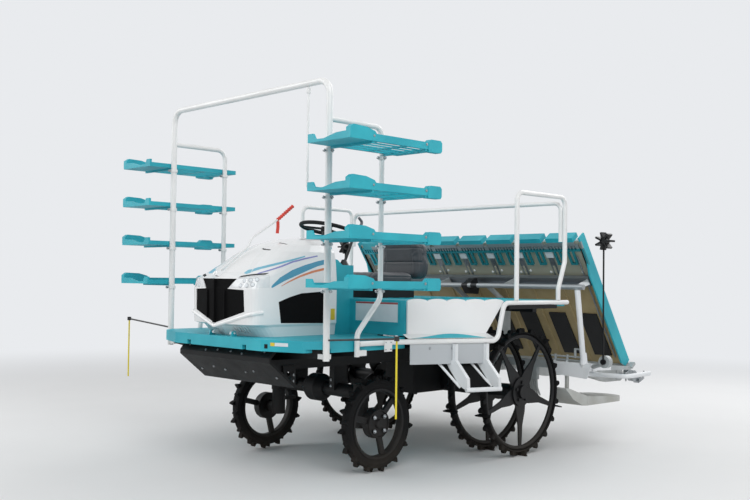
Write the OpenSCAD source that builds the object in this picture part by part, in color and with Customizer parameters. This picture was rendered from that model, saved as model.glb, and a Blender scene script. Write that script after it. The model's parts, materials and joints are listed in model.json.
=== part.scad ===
// Riding rice transplanter with eight planting rows, parked with its planting unit raised.
// Units are millimetres. +Z is up, +Y points to the rear, +X to the driver's left.
// Lengths along the machine are measured from the front axle and moved to the middle by from_axle().

/* [Wheels] */
// Distance between the front and the rear axle
wheelbase = 1230; // [1150:10:1320]
// Front wheel diameter over the lugs
front_wheel_d = 650; // [600:5:680]
// Front tyre width
front_tyre_w = 76; // [60:1:90]
// Distance between the middles of the front wheels
front_track = 1200; // [1140:10:1260]
// Rear wheel diameter over the lugs
rear_wheel_d = 950; // [900:5:980]
// Rear rubber width
rear_tyre_w = 56; // [40:1:64]
// Distance between the outer rear wheels
rear_outer_track = 1780; // [1720:10:1800]
// Distance between the inner rear wheels
rear_inner_track = 1170; // [1140:10:1200]
// Lugs around a front tyre
front_lugs = 14; // [10:1:18]
// Lugs around a rear tyre
rear_lugs = 20; // [14:1:26]
// Height of a tyre lug
lug_h = 26; // [16:1:32]

/* [Decks] */
// Height of the front deck
deck_z = 920; // [900:5:940]
// Depth of the turned down edge of the front deck
deck_lip = 72; // [50:2:90]
// Front edge of the front deck, from the front axle
deck_front_y = -905; // [-960:5:-880]
// Distance from the middle to the sides of the front deck
deck_half_w = 838; // [800:1:839]
// Height of the rear deck
upper_deck_z = 1165; // [1150:5:1190]
// Distance from the middle to the widest part of the rear deck
upper_half_w = 1136; // [1100:1:1150]
// Rear edge of the rear deck
upper_rear_y = 1440; // [1400:5:1480]
// Where the riser between the decks stands
riser_y = 20; // [0:5:40]
// Where the rear deck has reached its full width
flare_y = 700; // [640:5:740]

/* [Rails and racks] */
// Diameter of the portal tube
portal_d = 42; // [34:1:50]
// Height of the portal's middle line
portal_z = 2530; // [2400:10:2600]
// Where the portal stands
portal_y = -699; // [-720:1:-680]
// Diameter of the thinner rails
rail_d = 34; // [28:1:40]
// Height of the top of a rack's rear post
rack_post_z = 2285; // [2250:5:2320]
// Where the upper part of a rack's rear post stands
rack_post_y = -240; // [-260:1:-220]
// Height of the lowest shelf
shelf_z = 1250; // [1230:5:1270]
// Height between two shelves
shelf_pitch = 287; // [270:1:300]
// Shelves on each side
shelf_count = 4; // [1:1:4]
// Length of a shelf
shelf_len = 770; // [700:5:800]
// Width of a shelf
shelf_w = 370; // [320:5:400]
// Height of the safety rails
safety_z = 1930; // [1850:5:1980]

/* [Planting unit] */
// Planting rows
row_count = 8; // [8]
// Distance between two rows
row_pitch = 300; // [280:5:300]
// How far the seedling table stands from the middle
table_shift = -140; // [-140:5:-100]
// Lean of the seedling table from the floor
table_lean = 55; // [52:1:58]
// Length of the seedling table down its slope
table_len = 1208; // [1150:2:1240]
// Top edge of the table, from the front axle
table_top_y = 1721; // [1715:1:1760]
// Height of the table's top edge
table_top_z = 1620; // [1590:5:1650]
// Thickness of the table board
table_t = 24; // [18:1:30]
// Length of the lower lift links
link_len = 620; // [580:5:640]
// Lift of the lower links above level, as parked
link_lift = 18; // [12:1:20]

/* [Hidden] */
$fn = 40;

// Colours
teal = "#27a9b8";
white = "#eceef0";
black = "#1b1c1e";
steel = "#b9bdc0";
tan_board = "#c2b083";
light_grey = "#c9cbc9";

// Clearances: a seat between two pieces, a running fit and a pin in its bore
seat_gap = 0.3;
run_gap = 0.08;
lap = 2;
swell = 0.4;

// Wheels
front_r = front_wheel_d / 2;
rear_r = rear_wheel_d / 2;
front_x = front_track / 2;
rear_outer_x = rear_outer_track / 2;
rear_inner_x = rear_inner_track / 2;
king_x = 450;
hub_r = 100;

// Frame
rail_x = 210;
rail_w = 60;
rail_low = 690;
rail_high = 780;
frame_front_y = -700;
frame_rear_y = wheelbase + 250;
deck_t = 45;
deck_under = deck_z - deck_t;
panel_t = 20;
rack_x = deck_half_w + 23;
flare_turn = atan((upper_half_w - rack_x) / (flare_y - riser_y));
flare_len = norm([upper_half_w - rack_x, flare_y - riser_y]);
panel_in = (panel_t + seat_gap) / cos(flare_turn);

arm_x = deck_half_w - 40;
tie_y = -490;

// Linkage, in the plane of symmetry
link_a = [0, wheelbase + 150, 600];
link_up = 300;
link_run = [0, link_len * cos(link_lift), link_len * sin(link_lift)];
link_b = link_a + link_run;
link_x = 150;
lug_on = 230;
lug_off = 90;
lift_c = [0, link_a[1] - 380, 880];
lift_d = link_a + [0, lug_on * cos(link_lift) - lug_off * sin(link_lift),
                   lug_on * sin(link_lift) + lug_off * cos(link_lift)];

// Planting unit
table_low_y = table_top_y + table_len * cos(table_lean);
table_low_z = table_top_z - table_len * sin(table_lean);
table_half = row_count * row_pitch / 2 + 25;
cross_y = 1800;
cross_z = 640;
head_y = table_low_y + 160;
head_z = table_low_z - 108;
head_r = 155;
post_x = 1070;
marker_x = 1400;
marker_y = 1583;
marker_z = 715;

// Middle of the machine's length, on which its origin stands
rear_end_y = head_y + head_r;
mid_y = (deck_front_y + rear_end_y) / 2;

function unit(v) = v / norm(v);
function corner(pts, i) = acos(unit(pts[i - 1] - pts[i]) * unit(pts[i + 1] - pts[i]));
function setback(pts, i, r) = (i <= 0 || i >= len(pts) - 1) ? 0 : r / tan(corner(pts, i) / 2) - lap;

module from_axle() translate([0, -mid_y, 0]) children();

module both_sides() {
    children();
    mirror([1, 0, 0]) children();
}

// A round bar from a to b
module bar(a, b, d) {
    run = b - a;
    translate(a) rotate([0, acos(run[2] / norm(run)), atan2(run[1], run[0])]) cylinder(d = d, h = norm(run));
}

// One bend of a tube at b, between its straight runs to a and c
module bend(a, b, c, d, r) {
    u = unit(a - b);
    v = unit(c - b);
    half = acos(u * v) / 2;
    centre = b + unit(u + v) * r / sin(half);
    x = unit(b + u * r / tan(half) - centre);
    z = unit(cross(v, u));
    y = cross(z, x);
    m = [[x[0], y[0], z[0], centre[0]], [x[1], y[1], z[1], centre[1]],
         [x[2], y[2], z[2], centre[2]], [0, 0, 0, 1]];
    multmatrix(m) rotate_extrude(angle = 180 - 2 * half) translate([r, 0]) circle(d = d + swell);
}

// A bent tube through points, with a bend of radius r at each inner one
module bent_tube(pts, d, r) {
    for (i = [0:len(pts) - 2]) {
        run = unit(pts[i + 1] - pts[i]);
        bar(pts[i] + run * setback(pts, i, r), pts[i + 1] - run * setback(pts, i + 1, r), d);
    }
    for (i = [1:1:len(pts) - 2]) bend(pts[i - 1], pts[i], pts[i + 1], d, r);
}

// A box between two corners
module block(low, high) translate(low) cube(high - low);

// A side profile of points [y, z], w wide about x
module profile(x, w, pts) translate([x - w / 2, 0, 0]) rotate([90, 0, 90]) linear_extrude(w) polygon(pts);

// A cylinder along X between two places
module axle(x0, x1, y, z, d) translate([x0, y, z]) rotate([0, 90, 0]) cylinder(d = d, h = x1 - x0);

module main_frame() color(black) from_axle() {
    difference() {
        union() {
            both_sides()
                block([rail_x - rail_w / 2, frame_front_y, rail_low], [rail_x + rail_w / 2, frame_rear_y, rail_high]);
            for (y = [frame_front_y, -420, 260, 900])
                block([-rail_x, y, rail_low + 10], [rail_x, y + 60, rail_high - 10]);
            block([-rail_x, link_a[1] - 45, 942], [rail_x, link_a[1] + 5, 958]);
            // Outriggers under the front deck
            for (y = [-670, -300])
                both_sides() translate([0, y + 25, 0]) rotate([90, 0, 0]) linear_extrude(50)
                    polygon([[rail_x, rail_high - 20], [rail_x, deck_under - seat_gap], [arm_x, deck_under - seat_gap],
                             [arm_x, deck_under - 60]]);
            // Posts and beams under the rear deck
            for (y = [340, 760, 1340]) {
                both_sides() block([rail_x - 30, y, rail_high - 10], [rail_x + 30, y + 50, upper_deck_z - 46]);
                block([-920, y, upper_deck_z - 95], [920, y + 50, upper_deck_z - 45 - seat_gap]);
            }
            // Mast plates that carry the links
            both_sides() profile(rail_x, 24, [for (p = [[-60, 540], [50, 540], [100, 640], [100, 780], [60, 960], [-50, 960], [-80, 780], [-80, 640]])
                [link_a[1] + p[0], p[1]]]);
            // Tie down plates at the front
            both_sides() profile(rail_x + 36, 12, [
                [tie_y - 35, 640], [tie_y + 35, 640], [tie_y + 65, 720], [tie_y - 50, 720]]);
            // Bracket of the lift cylinder
            both_sides() profile(60, 16, [
                for (p = [[-60, 770], [60, 770], [40, 920], [-40, 920]]) [lift_c[1] + p[0], p[1]]]);
            block([-rail_x, lift_c[1] - 60, rail_high - 40], [rail_x, lift_c[1] + 60, rail_high]);
        }
        for (z = [link_a[2], link_a[2] + link_up]) axle(-300, 300, link_a[1], z, 30 + 2 * run_gap);
        axle(-100, 100, lift_c[1], lift_c[2], 24 + 2 * run_gap);
        both_sides() axle(rail_x + 20, rail_x + 50, tie_y, 664, 30);
    }
}

module engine_block() color("#55595c") from_axle()
    block([-190, -640, rail_high + seat_gap], [190, -160, 1180]);

module axle_cases() color(black) from_axle() {
    front_axle_case();
    rear_axle_case();
}

module front_axle_case() {
    difference() {
        union() {
            axle(-king_x, king_x, 0, 520, 96);
            translate([0, 0, 520]) rotate([0, 90, 0]) rotate_extrude()
                polygon([[0, -104], [62, -104], [98, -46], [98, 46], [62, 104], [0, 104]]);
            both_sides() translate([king_x, 0, 462]) cylinder(d = 112, h = 120);
            both_sides() block([rail_x - 25, -60, 520], [rail_x + 25, 60, rail_low - seat_gap]);
        }
        both_sides() translate([king_x, 0, 440]) cylinder(r = 25 + run_gap, h = 110);
    }
}

module rear_axle_case() {
    difference() {
        union() {
            axle(-500, 500, wheelbase, rear_r, 116);
            block([-150, wheelbase - 380, 420], [150, wheelbase + 95, rail_low - seat_gap]);
            both_sides() block([rail_x - 30, wheelbase - 70, rear_r], [rail_x + 30, wheelbase + 70, rail_low - seat_gap]);
        }
        both_sides() axle(360, 510, wheelbase, rear_r, 50 + 2 * run_gap);
    }
}

module lower_guard() color(black) from_axle() {
    profile(0, 1000, [[-790, deck_under - seat_gap], [-850, 800], [-850, 770], [-640, 600], [-560, 590], [-560, 602],
                      [-630, 614], [-836, 780], [-836, 796], [-790, 840]]);
}

// Plan outline of the front deck
deck_plan = [[-deck_half_w, riser_y - seat_gap], [-deck_half_w, -700], [-760, -800], [-480, deck_front_y],
             [480, deck_front_y], [760, -800], [deck_half_w, -700], [deck_half_w, riser_y - seat_gap],
             [300, riser_y - seat_gap], [300, 300], [-300, 300], [-300, riser_y - seat_gap]];

module front_deck() color(teal) from_axle() {
    difference() {
        translate([0, 0, deck_z - deck_lip]) linear_extrude(deck_lip) polygon(deck_plan);
        translate([0, 0, deck_z - deck_lip - 1]) linear_extrude(deck_lip - deck_t + 1)
            polygon([for (p = deck_plan) [p[0] * 0.97, p[1] > 0 ? p[1] + 20 : p[1] * 0.97]]);
        // Opening for the engine, under the hood
        block([-215, -690, deck_z - deck_lip - 1], [215, -130, deck_z + 1]);
        // Notches in the turned down edge
        both_sides() block([288, -930, deck_z - deck_lip - 1], [330, -860, deck_z - deck_lip + 30]);
        both_sides() block([770, -800, deck_z - deck_lip - 1], [900, -640, deck_z - deck_lip + 22]);
    }
    // Bored ears on which the hood tips
    both_sides() difference() {
        profile(122, 10, [[-875, deck_z - 2], [-825, deck_z - 2], [-837, 952], [-863, 952]]);
        axle(110, 140, hinge_y, hinge_z, 12 + 2 * run_gap);
    }
}

module rear_deck() color(teal) from_axle() {
    difference() {
        union() {
            both_sides() translate([0, 0, upper_deck_z - 45]) linear_extrude(45) polygon([
                [-1, riser_y], [rack_x - panel_in, riser_y], [upper_half_w - panel_in, flare_y + 12],
                [upper_half_w, flare_y + 12], [upper_half_w, upper_rear_y], [-1, upper_rear_y]]);
            both_sides() block([300 + seat_gap, riser_y, deck_z + 8], [rack_x - panel_in, riser_y + 20, upper_deck_z - 10]);
        }
        block([-300, riser_y - 10, upper_deck_z - 60], [300, 300, upper_deck_z + 10]);
    }
    both_sides() block([300 + seat_gap, riser_y, deck_z + seat_gap], [318, 300 + seat_gap, upper_deck_z - 10]);
    block([-318, 300 + seat_gap, deck_z + seat_gap], [318, 318, upper_deck_z - 10]);
    // Raised frame of the plate on the riser
    both_sides() difference() {
        block([352, riser_y - 6, 1004], [786, riser_y + 2, 1161]);
        block([362, riser_y - 7, 1014], [776, riser_y + 1, 1151]);
    }
    // Ribs of the tread beside and behind the seat
    both_sides() for (i = [0:8]) block([330, 380 + i * 116, upper_deck_z - 1], [760, 392 + i * 116, upper_deck_z + 5]);
}

scallops = 5;
scallop_cuts = 8;
panel_top = upper_deck_z + 12;

module side_panels() color(white) from_axle() both_sides()
    translate([rack_x, riser_y, 0]) rotate([0, 0, 90 - flare_turn]) rotate([90, 0, 0])
        mirror([0, 0, 1]) linear_extrude(panel_t)
            polygon(concat([[0, deck_z + 5], [flare_len - 150, deck_z + 5]], [
                for (i = [scallops * scallop_cuts:-1:0]) let(turn = 180 * i / scallop_cuts)
                    [flare_len * i / scallops / scallop_cuts, panel_top - 16 + 16 * pow(abs(sin(turn)), 0.5)]]));

// Places on the left side tube: below the deck, out along the flare, up and back along the rear deck
tube_z = 895;
rack_foot_y = -441;
side_tube_pts = [[rack_x, rack_foot_y + rail_d / 2 + seat_gap, tube_z], [rack_x, -100, tube_z], [1160, 600, tube_z],
                 [1160, 672, 1150], [1160, upper_rear_y, 1150]];

module side_tubes() color(white) from_axle() both_sides() bent_tube(side_tube_pts, rail_d, 60);

module rack_frame() color(white) from_axle() {
    bent_tube([[-rack_x, portal_y, 802], [-rack_x, portal_y, portal_z], [rack_x, portal_y, portal_z],
               [rack_x, portal_y, 802]], portal_d, 90);
    both_sides() {
        bent_tube([[rack_x, portal_y, rack_post_z], [rack_x, rack_post_y, rack_post_z], [rack_x, rack_post_y, 1180],
                   [rack_x, rack_foot_y, 960], [rack_x, rack_foot_y, 815]], rail_d, 70);
        // Stubs that the frame's arms carry
        block([arm_x + seat_gap, portal_y - 14, 812], [rack_x, portal_y + 40, 842]);
        block([rack_x - 16, rack_foot_y, 820], [rack_x + 16, rack_foot_y + 70, 856]);
        // Clamps under the shelves
        for (i = [0:shelf_count - 1]) {
            translate([rack_x, portal_y, shelf_z + i * shelf_pitch - 34]) cylinder(d = portal_d + 14, h = 20);
            translate([rack_x, rack_post_y, shelf_z + i * shelf_pitch - 34]) cylinder(d = rail_d + 14, h = 20);
        }
    }
}

shelf_lip = 44;
shelf_front_y = -890;
shelf_base = 8;

// One shelf: floor with slats behind, raised ears at its corners, bars under it
module shelf() {
    translate([rack_x + portal_d / 2 + seat_gap, shelf_front_y, 0]) {
        difference() {
            block([0, 0, 0], [shelf_w, shelf_len, shelf_base]);
            for (i = [0:4], j = [0:1])
                block([26 + i * 66, 250 + j * 258, -1], [78 + i * 66, 484 + j * 258, shelf_base + 1]);
        }
        // Front lip: ear, low part, ramp up to the outer ear
        translate([0, 16, 0]) rotate([90, 0, 0]) linear_extrude(16) polygon([
            [0, 0], [shelf_w, 0], [shelf_w, 44], [250, 40], [140, 16], [66, 18], [46, 52], [0, 52]]);
        // Side lips
        block([0, 8, 0], [12, shelf_len, 30]);
        block([shelf_w - 16, 8, 0], [shelf_w, shelf_len, shelf_lip]);
        block([0, shelf_len - 12, 0], [shelf_w, shelf_len, 26]);
        // Outer ears, at the front with a rounded nose
        profile(shelf_w - 17, 38, [
            [0, 14], [10, 0], [200, 0], [230, 24], [200, 58], [130, 76], [26, 80], [0, 62]]);
        profile(shelf_w - 20, 46, [
            [shelf_len - 104, -14], [shelf_len + 8, -14], [shelf_len + 20, 0], [shelf_len + 20, 50],
            [shelf_len + 6, 64], [shelf_len - 80, 64], [shelf_len - 104, 44]]);
        // Cross bars that lie on the clamps
        for (y = [portal_y, rack_post_y]) block([0, y - shelf_front_y - 8, -13], [shelf_w - 4, y - shelf_front_y + 8, 1]);
    }
}

module shelves() color(teal) from_axle() both_sides()
    for (i = [0:shelf_count - 1]) translate([0, 0, shelf_z + i * shelf_pitch]) shelf();

module safety_rails() color(white) from_axle() {
    both_sides() bent_tube([[1160, 812, 1150 + rail_d / 2 + seat_gap], [1160, 812, safety_z], [1160, 1404, safety_z], [1160, 1404, 1450],
                            [1160, 1322, 1250], [1160, 1322, 1150 + rail_d / 2 + seat_gap]], rail_d, 60);
    bent_tube([[-1125, 1404, 1600], [-1125, 1404, 1893], [1125, 1404, 1893], [1125, 1404, 1600]], rail_d, 60);
}

step_turn = atan2(1160 - rack_x, 700);
tube_under = tube_z - rail_d / 2 - seat_gap;
// Transverse plates of a step: where it hangs [x, y], the second follows the flare of the side tube
step_plates = [[1050, 278], [1136, 500]];

module steps() color(white) from_axle() both_sides() {
    for (s = step_plates) translate([s[0], s[1], 0]) {
        front_cut([[-14, tube_under], [12, tube_under], [12, 770], [114, 658], [120, 576], [80, 590], [43, 612],
                   [-66, 741], [-14, 772]], -3, 3);
        front_cut([[7, tube_under], [12, tube_under], [12, 770], [114, 658], [120, 576], [114, 578], [108, 656],
                   [7, 766]], -3, 26);
    }
    // Stringers, the rung between the plates and the panel under the tube
    bar([1100, 284, 592], [905, 196, 812], 18);
    bar([1188, 505, 592], [992, 418, 820], 18);
    bar([1162, 268, 582], [1264, 512, 584], 30);
    translate([rack_x, -100, 0]) rotate([0, 0, 90 - step_turn]) {
        block([110, -3, 745], [690, 3, tube_under]);
        block([190, 30, 745], [660, 36, 790]);
        for (along = [300, 540]) block([along, -3, 748], [along + 5, 36, 782]);
    }
}

module side_markers() color(black) from_axle() both_sides() {
    bar([rack_x + portal_d / 2 + 1, portal_y, 930], [1455, portal_y, 970], 12);
    bar([1455, portal_y, 520], [1455, portal_y, 985], 11);
    translate([1455, portal_y, 958]) cylinder(d = 30, h = 26);
}

module board_hanger() color(white) from_axle() {
    bar([660, portal_y, 1878], [660, portal_y, portal_z - portal_d / 2 - seat_gap], 16);
    translate([660, portal_y, portal_z - portal_d / 2 - 40]) cylinder(d = 30, h = 26);
}

// Steering wheel and its column, on the flat top of the console
console_z = 1400;
console_y = 52;
wheel_lean = 12;
wheel_axis = [0, sin(wheel_lean), cos(wheel_lean)];
wheel_c = [0, 58, 1668];
column_len = (wheel_c[2] - console_z) / cos(wheel_lean);

module console() color(teal) from_axle() {
    low = deck_z + seat_gap;
    front = hood_rear_y + seat_gap;
    profile(0, 600, [[front, low], [console_y, low], [console_y, console_z], [-54, console_z], [-100, 1435], [front, 1446]]);
    // Cowl behind the hood
    profile(0, 430, [[front, 1420], [front, 1572], [-95, 1560], [-58, 1445], [-58, 1420]]);
}

module steering_column() color(black) from_axle() {
    bar(wheel_c - wheel_axis * (column_len - 12), wheel_c - wheel_axis * (20 + seat_gap), 60);
    translate([0, wheel_c[1] - column_len * sin(wheel_lean), console_z + seat_gap]) cylinder(d = 100, h = 24);
    // Shift lever beside the wheel
    translate([245, 10, console_z + seat_gap]) cylinder(d1 = 70, d2 = 30, h = 40);
    bent_tube([[245, 10, console_z + 10], [245, 118, 1640], [245, 190, 1712], [245, 150, 1745]], 20, 22);
}

module steering_wheel() color(black) from_axle() {
    difference() {
        translate(wheel_c) rotate([-wheel_lean, 0, 0]) union() {
            rotate_extrude() translate([190, 0]) circle(d = 28);
            for (a = [90, 210, 330]) rotate([0, 0, a]) translate([0, -14, -8]) cube([186, 28, 12]);
            translate([0, 0, -20]) cylinder(d = 80, h = 30);
        }
    }
}

module seat_pan() color(black) from_axle() {
    block([-230, 350, upper_deck_z + seat_gap], [230, 760, 1230]);
}

seat_back_y = 800;

module seat_cushion() color("#3a3d42") from_axle() block([-250, 321, 1230 + seat_gap], [250, seat_back_y, 1380]);

module seat_back() color("#3a3d42") from_axle() profile(0, 470, [
    [seat_back_y + seat_gap, 1290], [960, 1290], [1000, 1445], [930, 1640], [870, 1680], [815, 1665],
    [seat_back_y + seat_gap, 1400]]);

// Outline of the hood at each height, from the deck up: its front on the keel, half its width, how far the
// front's corners stand back, and their radius. It ends in one flat face towards the console.
hood_rear_y = -150;
hood_rings = [
    [deck_z + seat_gap, -808, 330, 50, 110],
    [985, -862, 338, 50, 110],
    [1001, -918, 347, 42, 78],
    [1230, -925, 347, 42, 78],
    [1296, -918, 346, 46, 90],
    [1340, -864, 342, 60, 150],
    [1402, -781, 336, 60, 200],
    [1440, -728, 330, 55, 220],
    [1482, -657, 318, 50, 225],
    [1532, -552, 262, 40, 200],
    [1568, -420, 185, 20, 150],
    [1582, -300, 120, 10, 90],
    [1590, -230, 60, 0, 40]
];
corner_cuts = 6;

// Points of one ring of the hood, with its wall moved in by inset
function hood_ring(r, inset) = let(
    w = r[2] - inset, y = r[1] + inset, c = r[4], back = hood_rear_y + (inset > 0 ? 20 : 0),
    z = r[0] - (r[0] > 1300 ? inset : 0) - (r[0] < 930 && inset > 0 ? 2 : 0),
    right = [for (i = [0:corner_cuts]) let(a = i * 90 / corner_cuts)
        [w - c + c * cos(a), y + r[3] + c - c * sin(a), z]]
) concat([[w, back, z]], right, [[0, y, z]],
         [for (i = [corner_cuts:-1:0]) [-right[i][0], right[i][1], z]], [[-w, back, z]]);

// The hood's outer form, or one that lies deeper by inset
module hood_form(inset) {
    rings = [for (r = hood_rings) hood_ring(r, inset)];
    n = len(rings[0]);
    last = len(rings) - 1;
    points = [for (r = rings, p = r) p];
    sides = [for (k = [0:last - 1], i = [0:n - 1], half = [0, 1]) let(
        a = k * n + i, b = k * n + (i + 1) % n)
        half == 0 ? [a, b, b + n] : [a, b + n, a + n]];
    polyhedron(points, concat([[for (i = [n - 1:-1:0]) i]], sides, [[for (i = [0:n - 1]) last * n + i]]));
}

hood_wall = 16;
// Openings in the hood: the side windows [y, z], the grille and the lamps [x, z]
window_pts = [[-660, 1148], [-639, 1009], [-252, 1000], [-256, 1217], [-467, 1204], [-564, 1180]];
grille_pts = [[0, 1004], [271, 1084], [266, 1224], [124, 1230], [192, 1296], [0, 1296]];
// The grille itself, a seat's gap smaller
grille_in = [[-1, 1004.4], [270.5, 1084.5], [265.5, 1223.6], [123, 1229.6], [191.2, 1295.6], [-1, 1295.6]];
lamp_pts = [[128, 1234], [350, 1240], [350, 1318], [330, 1322], [200, 1302]];
lamp_rear_y = -735;

function middle(pts) = [for (k = [0, 1]) (min([for (p = pts) p[k]]) + max([for (p = pts) p[k]])) / 2];
// The same outline, drawn in a little towards its middle
function drawn_in(pts, part) = [for (p = pts) p + (middle(pts) - p) * part];

// A front outline of points [x, z] through the depth from y0 to y1
module front_cut(pts, y0, y1) translate([0, y1, 0]) rotate([90, 0, 0]) linear_extrude(y1 - y0) polygon(pts);

hinge_y = -850;
hinge_z = 940;
pole_y = -905;
pole_z = 1330;

module hood_shell() color(white) from_axle() {
    hood_body();
    // Moulded lip under the grille
    bent_tube([[-352, -790, 1080], [-330, -866, 1072], [0, -920, 986], [330, -866, 1072], [352, -790, 1080]], 24, 24);
    // Ears that carry the marker pole
    difference() {
        for (s = [-1, 1]) profile(s * 13, 8, [
            [-921, 1322], [-915, 1342], [-896, 1346], [-850, 1352], [-868, 1306], [-906, 1312]]);
        axle(-18, 18, pole_y, pole_z, 10 + 2 * run_gap);
    }
    // Lugs and pins on which the hood tips forward
    both_sides() {
        profile(96, 12, [[-861, 932], [-857, 949], [-846, 954], [-796, 960], [-793, 930], [-850, 928]]);
        axle(92, 134, hinge_y, hinge_z, 12);
    }
}

module hood_body() difference() {
    hood_form(0);
    hood_form(hood_wall);
    both_sides() {
        profile(340, 60, window_pts);
        front_cut(grille_pts, -960, -850);
        front_cut(lamp_pts, -960, lamp_rear_y);
        // Vent slits under the lip
        for (i = [0:5]) block([95 + i * 24, -900, 944], [102 + i * 24, -740, 986]);
    }
    // Two slots in the top, to the left of the pole
    for (slot = [[-585, 60], [-470, 95]]) block([slot[1], slot[0], 1400], [slot[1] + 90, slot[0] + 14, 1600]);
}

module hood_grille() color(black) from_axle() {
    difference() {
        hood_form(4);
        hood_form(12);
        block([-400, -870, 900], [400, 0, 1700]);
        both_sides() difference() {
            block([0, -1000, 900], [400, 0, 1700]);
            front_cut(grille_in, -1001, 1);
        }
    }
    // Keel and the two folds of the grille
    profile(0, 14, [[-930, 1008], [-930, 1290], [-916, 1290], [-916, 1008]]);
    both_sides() profile(96, 8, [[-915, 1040], [-915, 1222], [-900, 1222], [-900, 1040]]);
}

module headlamps() color("#d8dde0") from_axle() both_sides() intersection() {
    difference() {
        hood_form(2);
        hood_form(15);
    }
    front_cut(drawn_in(lamp_pts, 0.008), -959, lamp_rear_y - seat_gap);
}

module side_screens() color(black) from_axle() both_sides() profile(337, 8, drawn_in(window_pts, 0.006));

module centre_pole() color(white) from_axle() {
    bent_tube([[0, pole_y, pole_z], [0, -657, 1512], [0, -616, 1577], [0, -390, 1718], [0, -267, 1813]], 14, 30);
    axle(-8.7, 8.7, pole_y, pole_z, 22);
    axle(-19, 19, pole_y, pole_z, 10);
}

module knuckle() color(black) from_axle() difference() {
    union() {
        translate([king_x, 0, 380]) cylinder(r = 25, h = 165);
        translate([king_x, 0, 280]) cylinder(d = 100, h = 180);
        axle(king_x, front_x - 60, 0, front_r, 90);
        axle(king_x, front_x - 8, 0, front_r, 40);
        block([king_x - 20, 30, 380], [king_x + 20, 150, 405]);
    }
}

module knuckle_left() knuckle();
module knuckle_right() mirror([1, 0, 0]) knuckle();

module front_rim() color(black) from_axle() difference() {
    translate([front_x, 0, front_r]) rotate([0, 90, 0]) {
        translate([0, 0, -30]) rotate_extrude() polygon([[222, 0], [238, 0], [238, 60], [222, 60], [216, 48], [216, 12]]);
        translate([0, 0, -36]) cylinder(r = hub_r, h = 56);
        translate([0, 0, 19]) rotate_extrude() polygon([[86, 0], [hub_r - 1, 0], [hub_r - 3, 9], [90, 9]]);
        for (a = [0, 120, 240]) rotate([0, 0, a + 15]) translate([hub_r - 10, -20, -12]) cube([232 - hub_r, 40, 24]);
        // Wheel bolts and the cap
        for (a = [45:90:315]) rotate([0, 0, a]) translate([66, 0, 19]) cylinder(d = 22, h = 13);
        translate([0, 0, 19]) cylinder(d1 = 66, d2 = 52, h = 14);
    }
    axle(front_x - 80, front_x + 5, 0, front_r, 40 + 2 * run_gap);
}

module front_rim_left() front_rim();
module front_rim_right() mirror([1, 0, 0]) front_rim();

// The rubber ring of a tyre on an axis along Z
module carcass(r_in, r_out, w) rotate_extrude() polygon([
    [r_in, -w * 0.34], [(r_in + r_out) / 2, -w / 2], [r_out - 4, -w * 0.42], [r_out, -w * 0.2],
    [r_out, w * 0.2], [r_out - 4, w * 0.42], [(r_in + r_out) / 2, w / 2], [r_in, w * 0.34]]);

// Pointed lugs in two staggered rows, leaning forward like saw teeth
module pointed_lugs(r_root, r_out, w, lugs)
    for (i = [0:lugs - 1], side = [-1, 1])
        rotate([0, 0, (i + side / 4) * 360 / lugs]) translate([0, 0, side * w * 0.25 - w * 0.26]) linear_extrude(w * 0.52)
            polygon([[r_root - 5, -24], [r_out - 3, -8], [r_out, 2], [r_root - 5, 14]]);

// Rounded lugs, with a wide cross paddle at every fourth one
module rounded_lugs(r_root, r_out, w, lugs) {
    for (i = [0:lugs - 1], side = [-1, 1])
        rotate([0, 0, (i + side / 4) * 360 / lugs]) translate([0, 0, side * w * 0.26 - w * 0.26]) linear_extrude(w * 0.52)
            polygon([[r_root - 6, -22], [r_out - 8, -16], [r_out, -6], [r_out, 6], [r_out - 8, 16], [r_root - 6, 22]]);
    for (i = [0:4:lugs - 1]) rotate([0, 0, i * 360 / lugs]) rotate([90, 0, 0]) translate([0, 0, -4]) linear_extrude(8)
        polygon([[r_root - 12, -w * 0.9], [r_out - 4, -w * 1.25], [r_out - 1, -w], [r_out - 1, w], [r_out - 4, w * 1.25],
                 [r_root - 12, w * 0.9]]);
}

module front_tyre() color("#151515") from_axle() translate([front_x, 0, front_r]) rotate([0, 90, 0]) {
    carcass(238 + seat_gap, front_r - lug_h, front_tyre_w);
    pointed_lugs(front_r - lug_h, front_r, front_tyre_w, front_lugs);
}

module front_tyre_left() front_tyre();
module front_tyre_right() mirror([1, 0, 0]) front_tyre();

rim_r = rear_r - 58;

module rear_rims() color(black) from_axle() translate([0, wheelbase, rear_r]) rotate([0, 90, 0]) {
    translate([0, 0, 370]) cylinder(r = 25, h = rear_outer_x - 360);
    translate([0, 0, rear_inner_x - 50]) cylinder(r = 50, h = rear_outer_x - rear_inner_x + 90);
    for (x = [rear_inner_x, rear_outer_x]) translate([0, 0, x]) {
        rotate_extrude() translate([rim_r, 0]) circle(r = 17);
        // Arms that narrow towards the rim
        for (i = [0:4]) rotate([0, 0, i * 72]) translate([0, 0, -6]) linear_extrude(12)
            polygon([[40, -62], [150, -52], [250, -24], [rim_r - 4, -14], [rim_r - 4, 14], [250, 24], [150, 52], [40, 62]]);
        translate([0, 0, -18]) cylinder(r = 108, h = 36);
    }
    for (a = [36:72:324]) rotate([0, 0, a]) translate([70, 0, rear_outer_x + 17]) cylinder(d = 24, h = 12);
}

module rear_rims_left() rear_rims();
module rear_rims_right() mirror([1, 0, 0]) rear_rims();

module rear_tyres() color("#151515") from_axle() translate([0, wheelbase, rear_r]) rotate([0, 90, 0])
    for (x = [rear_inner_x, rear_outer_x]) translate([0, 0, x]) {
        carcass(rim_r + 17 + seat_gap, rear_r - lug_h, rear_tyre_w);
        rounded_lugs(rear_r - lug_h, rear_r, rear_tyre_w, rear_lugs);
    }

module rear_tyres_left() rear_tyres();
module rear_tyres_right() mirror([1, 0, 0]) rear_tyres();

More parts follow.
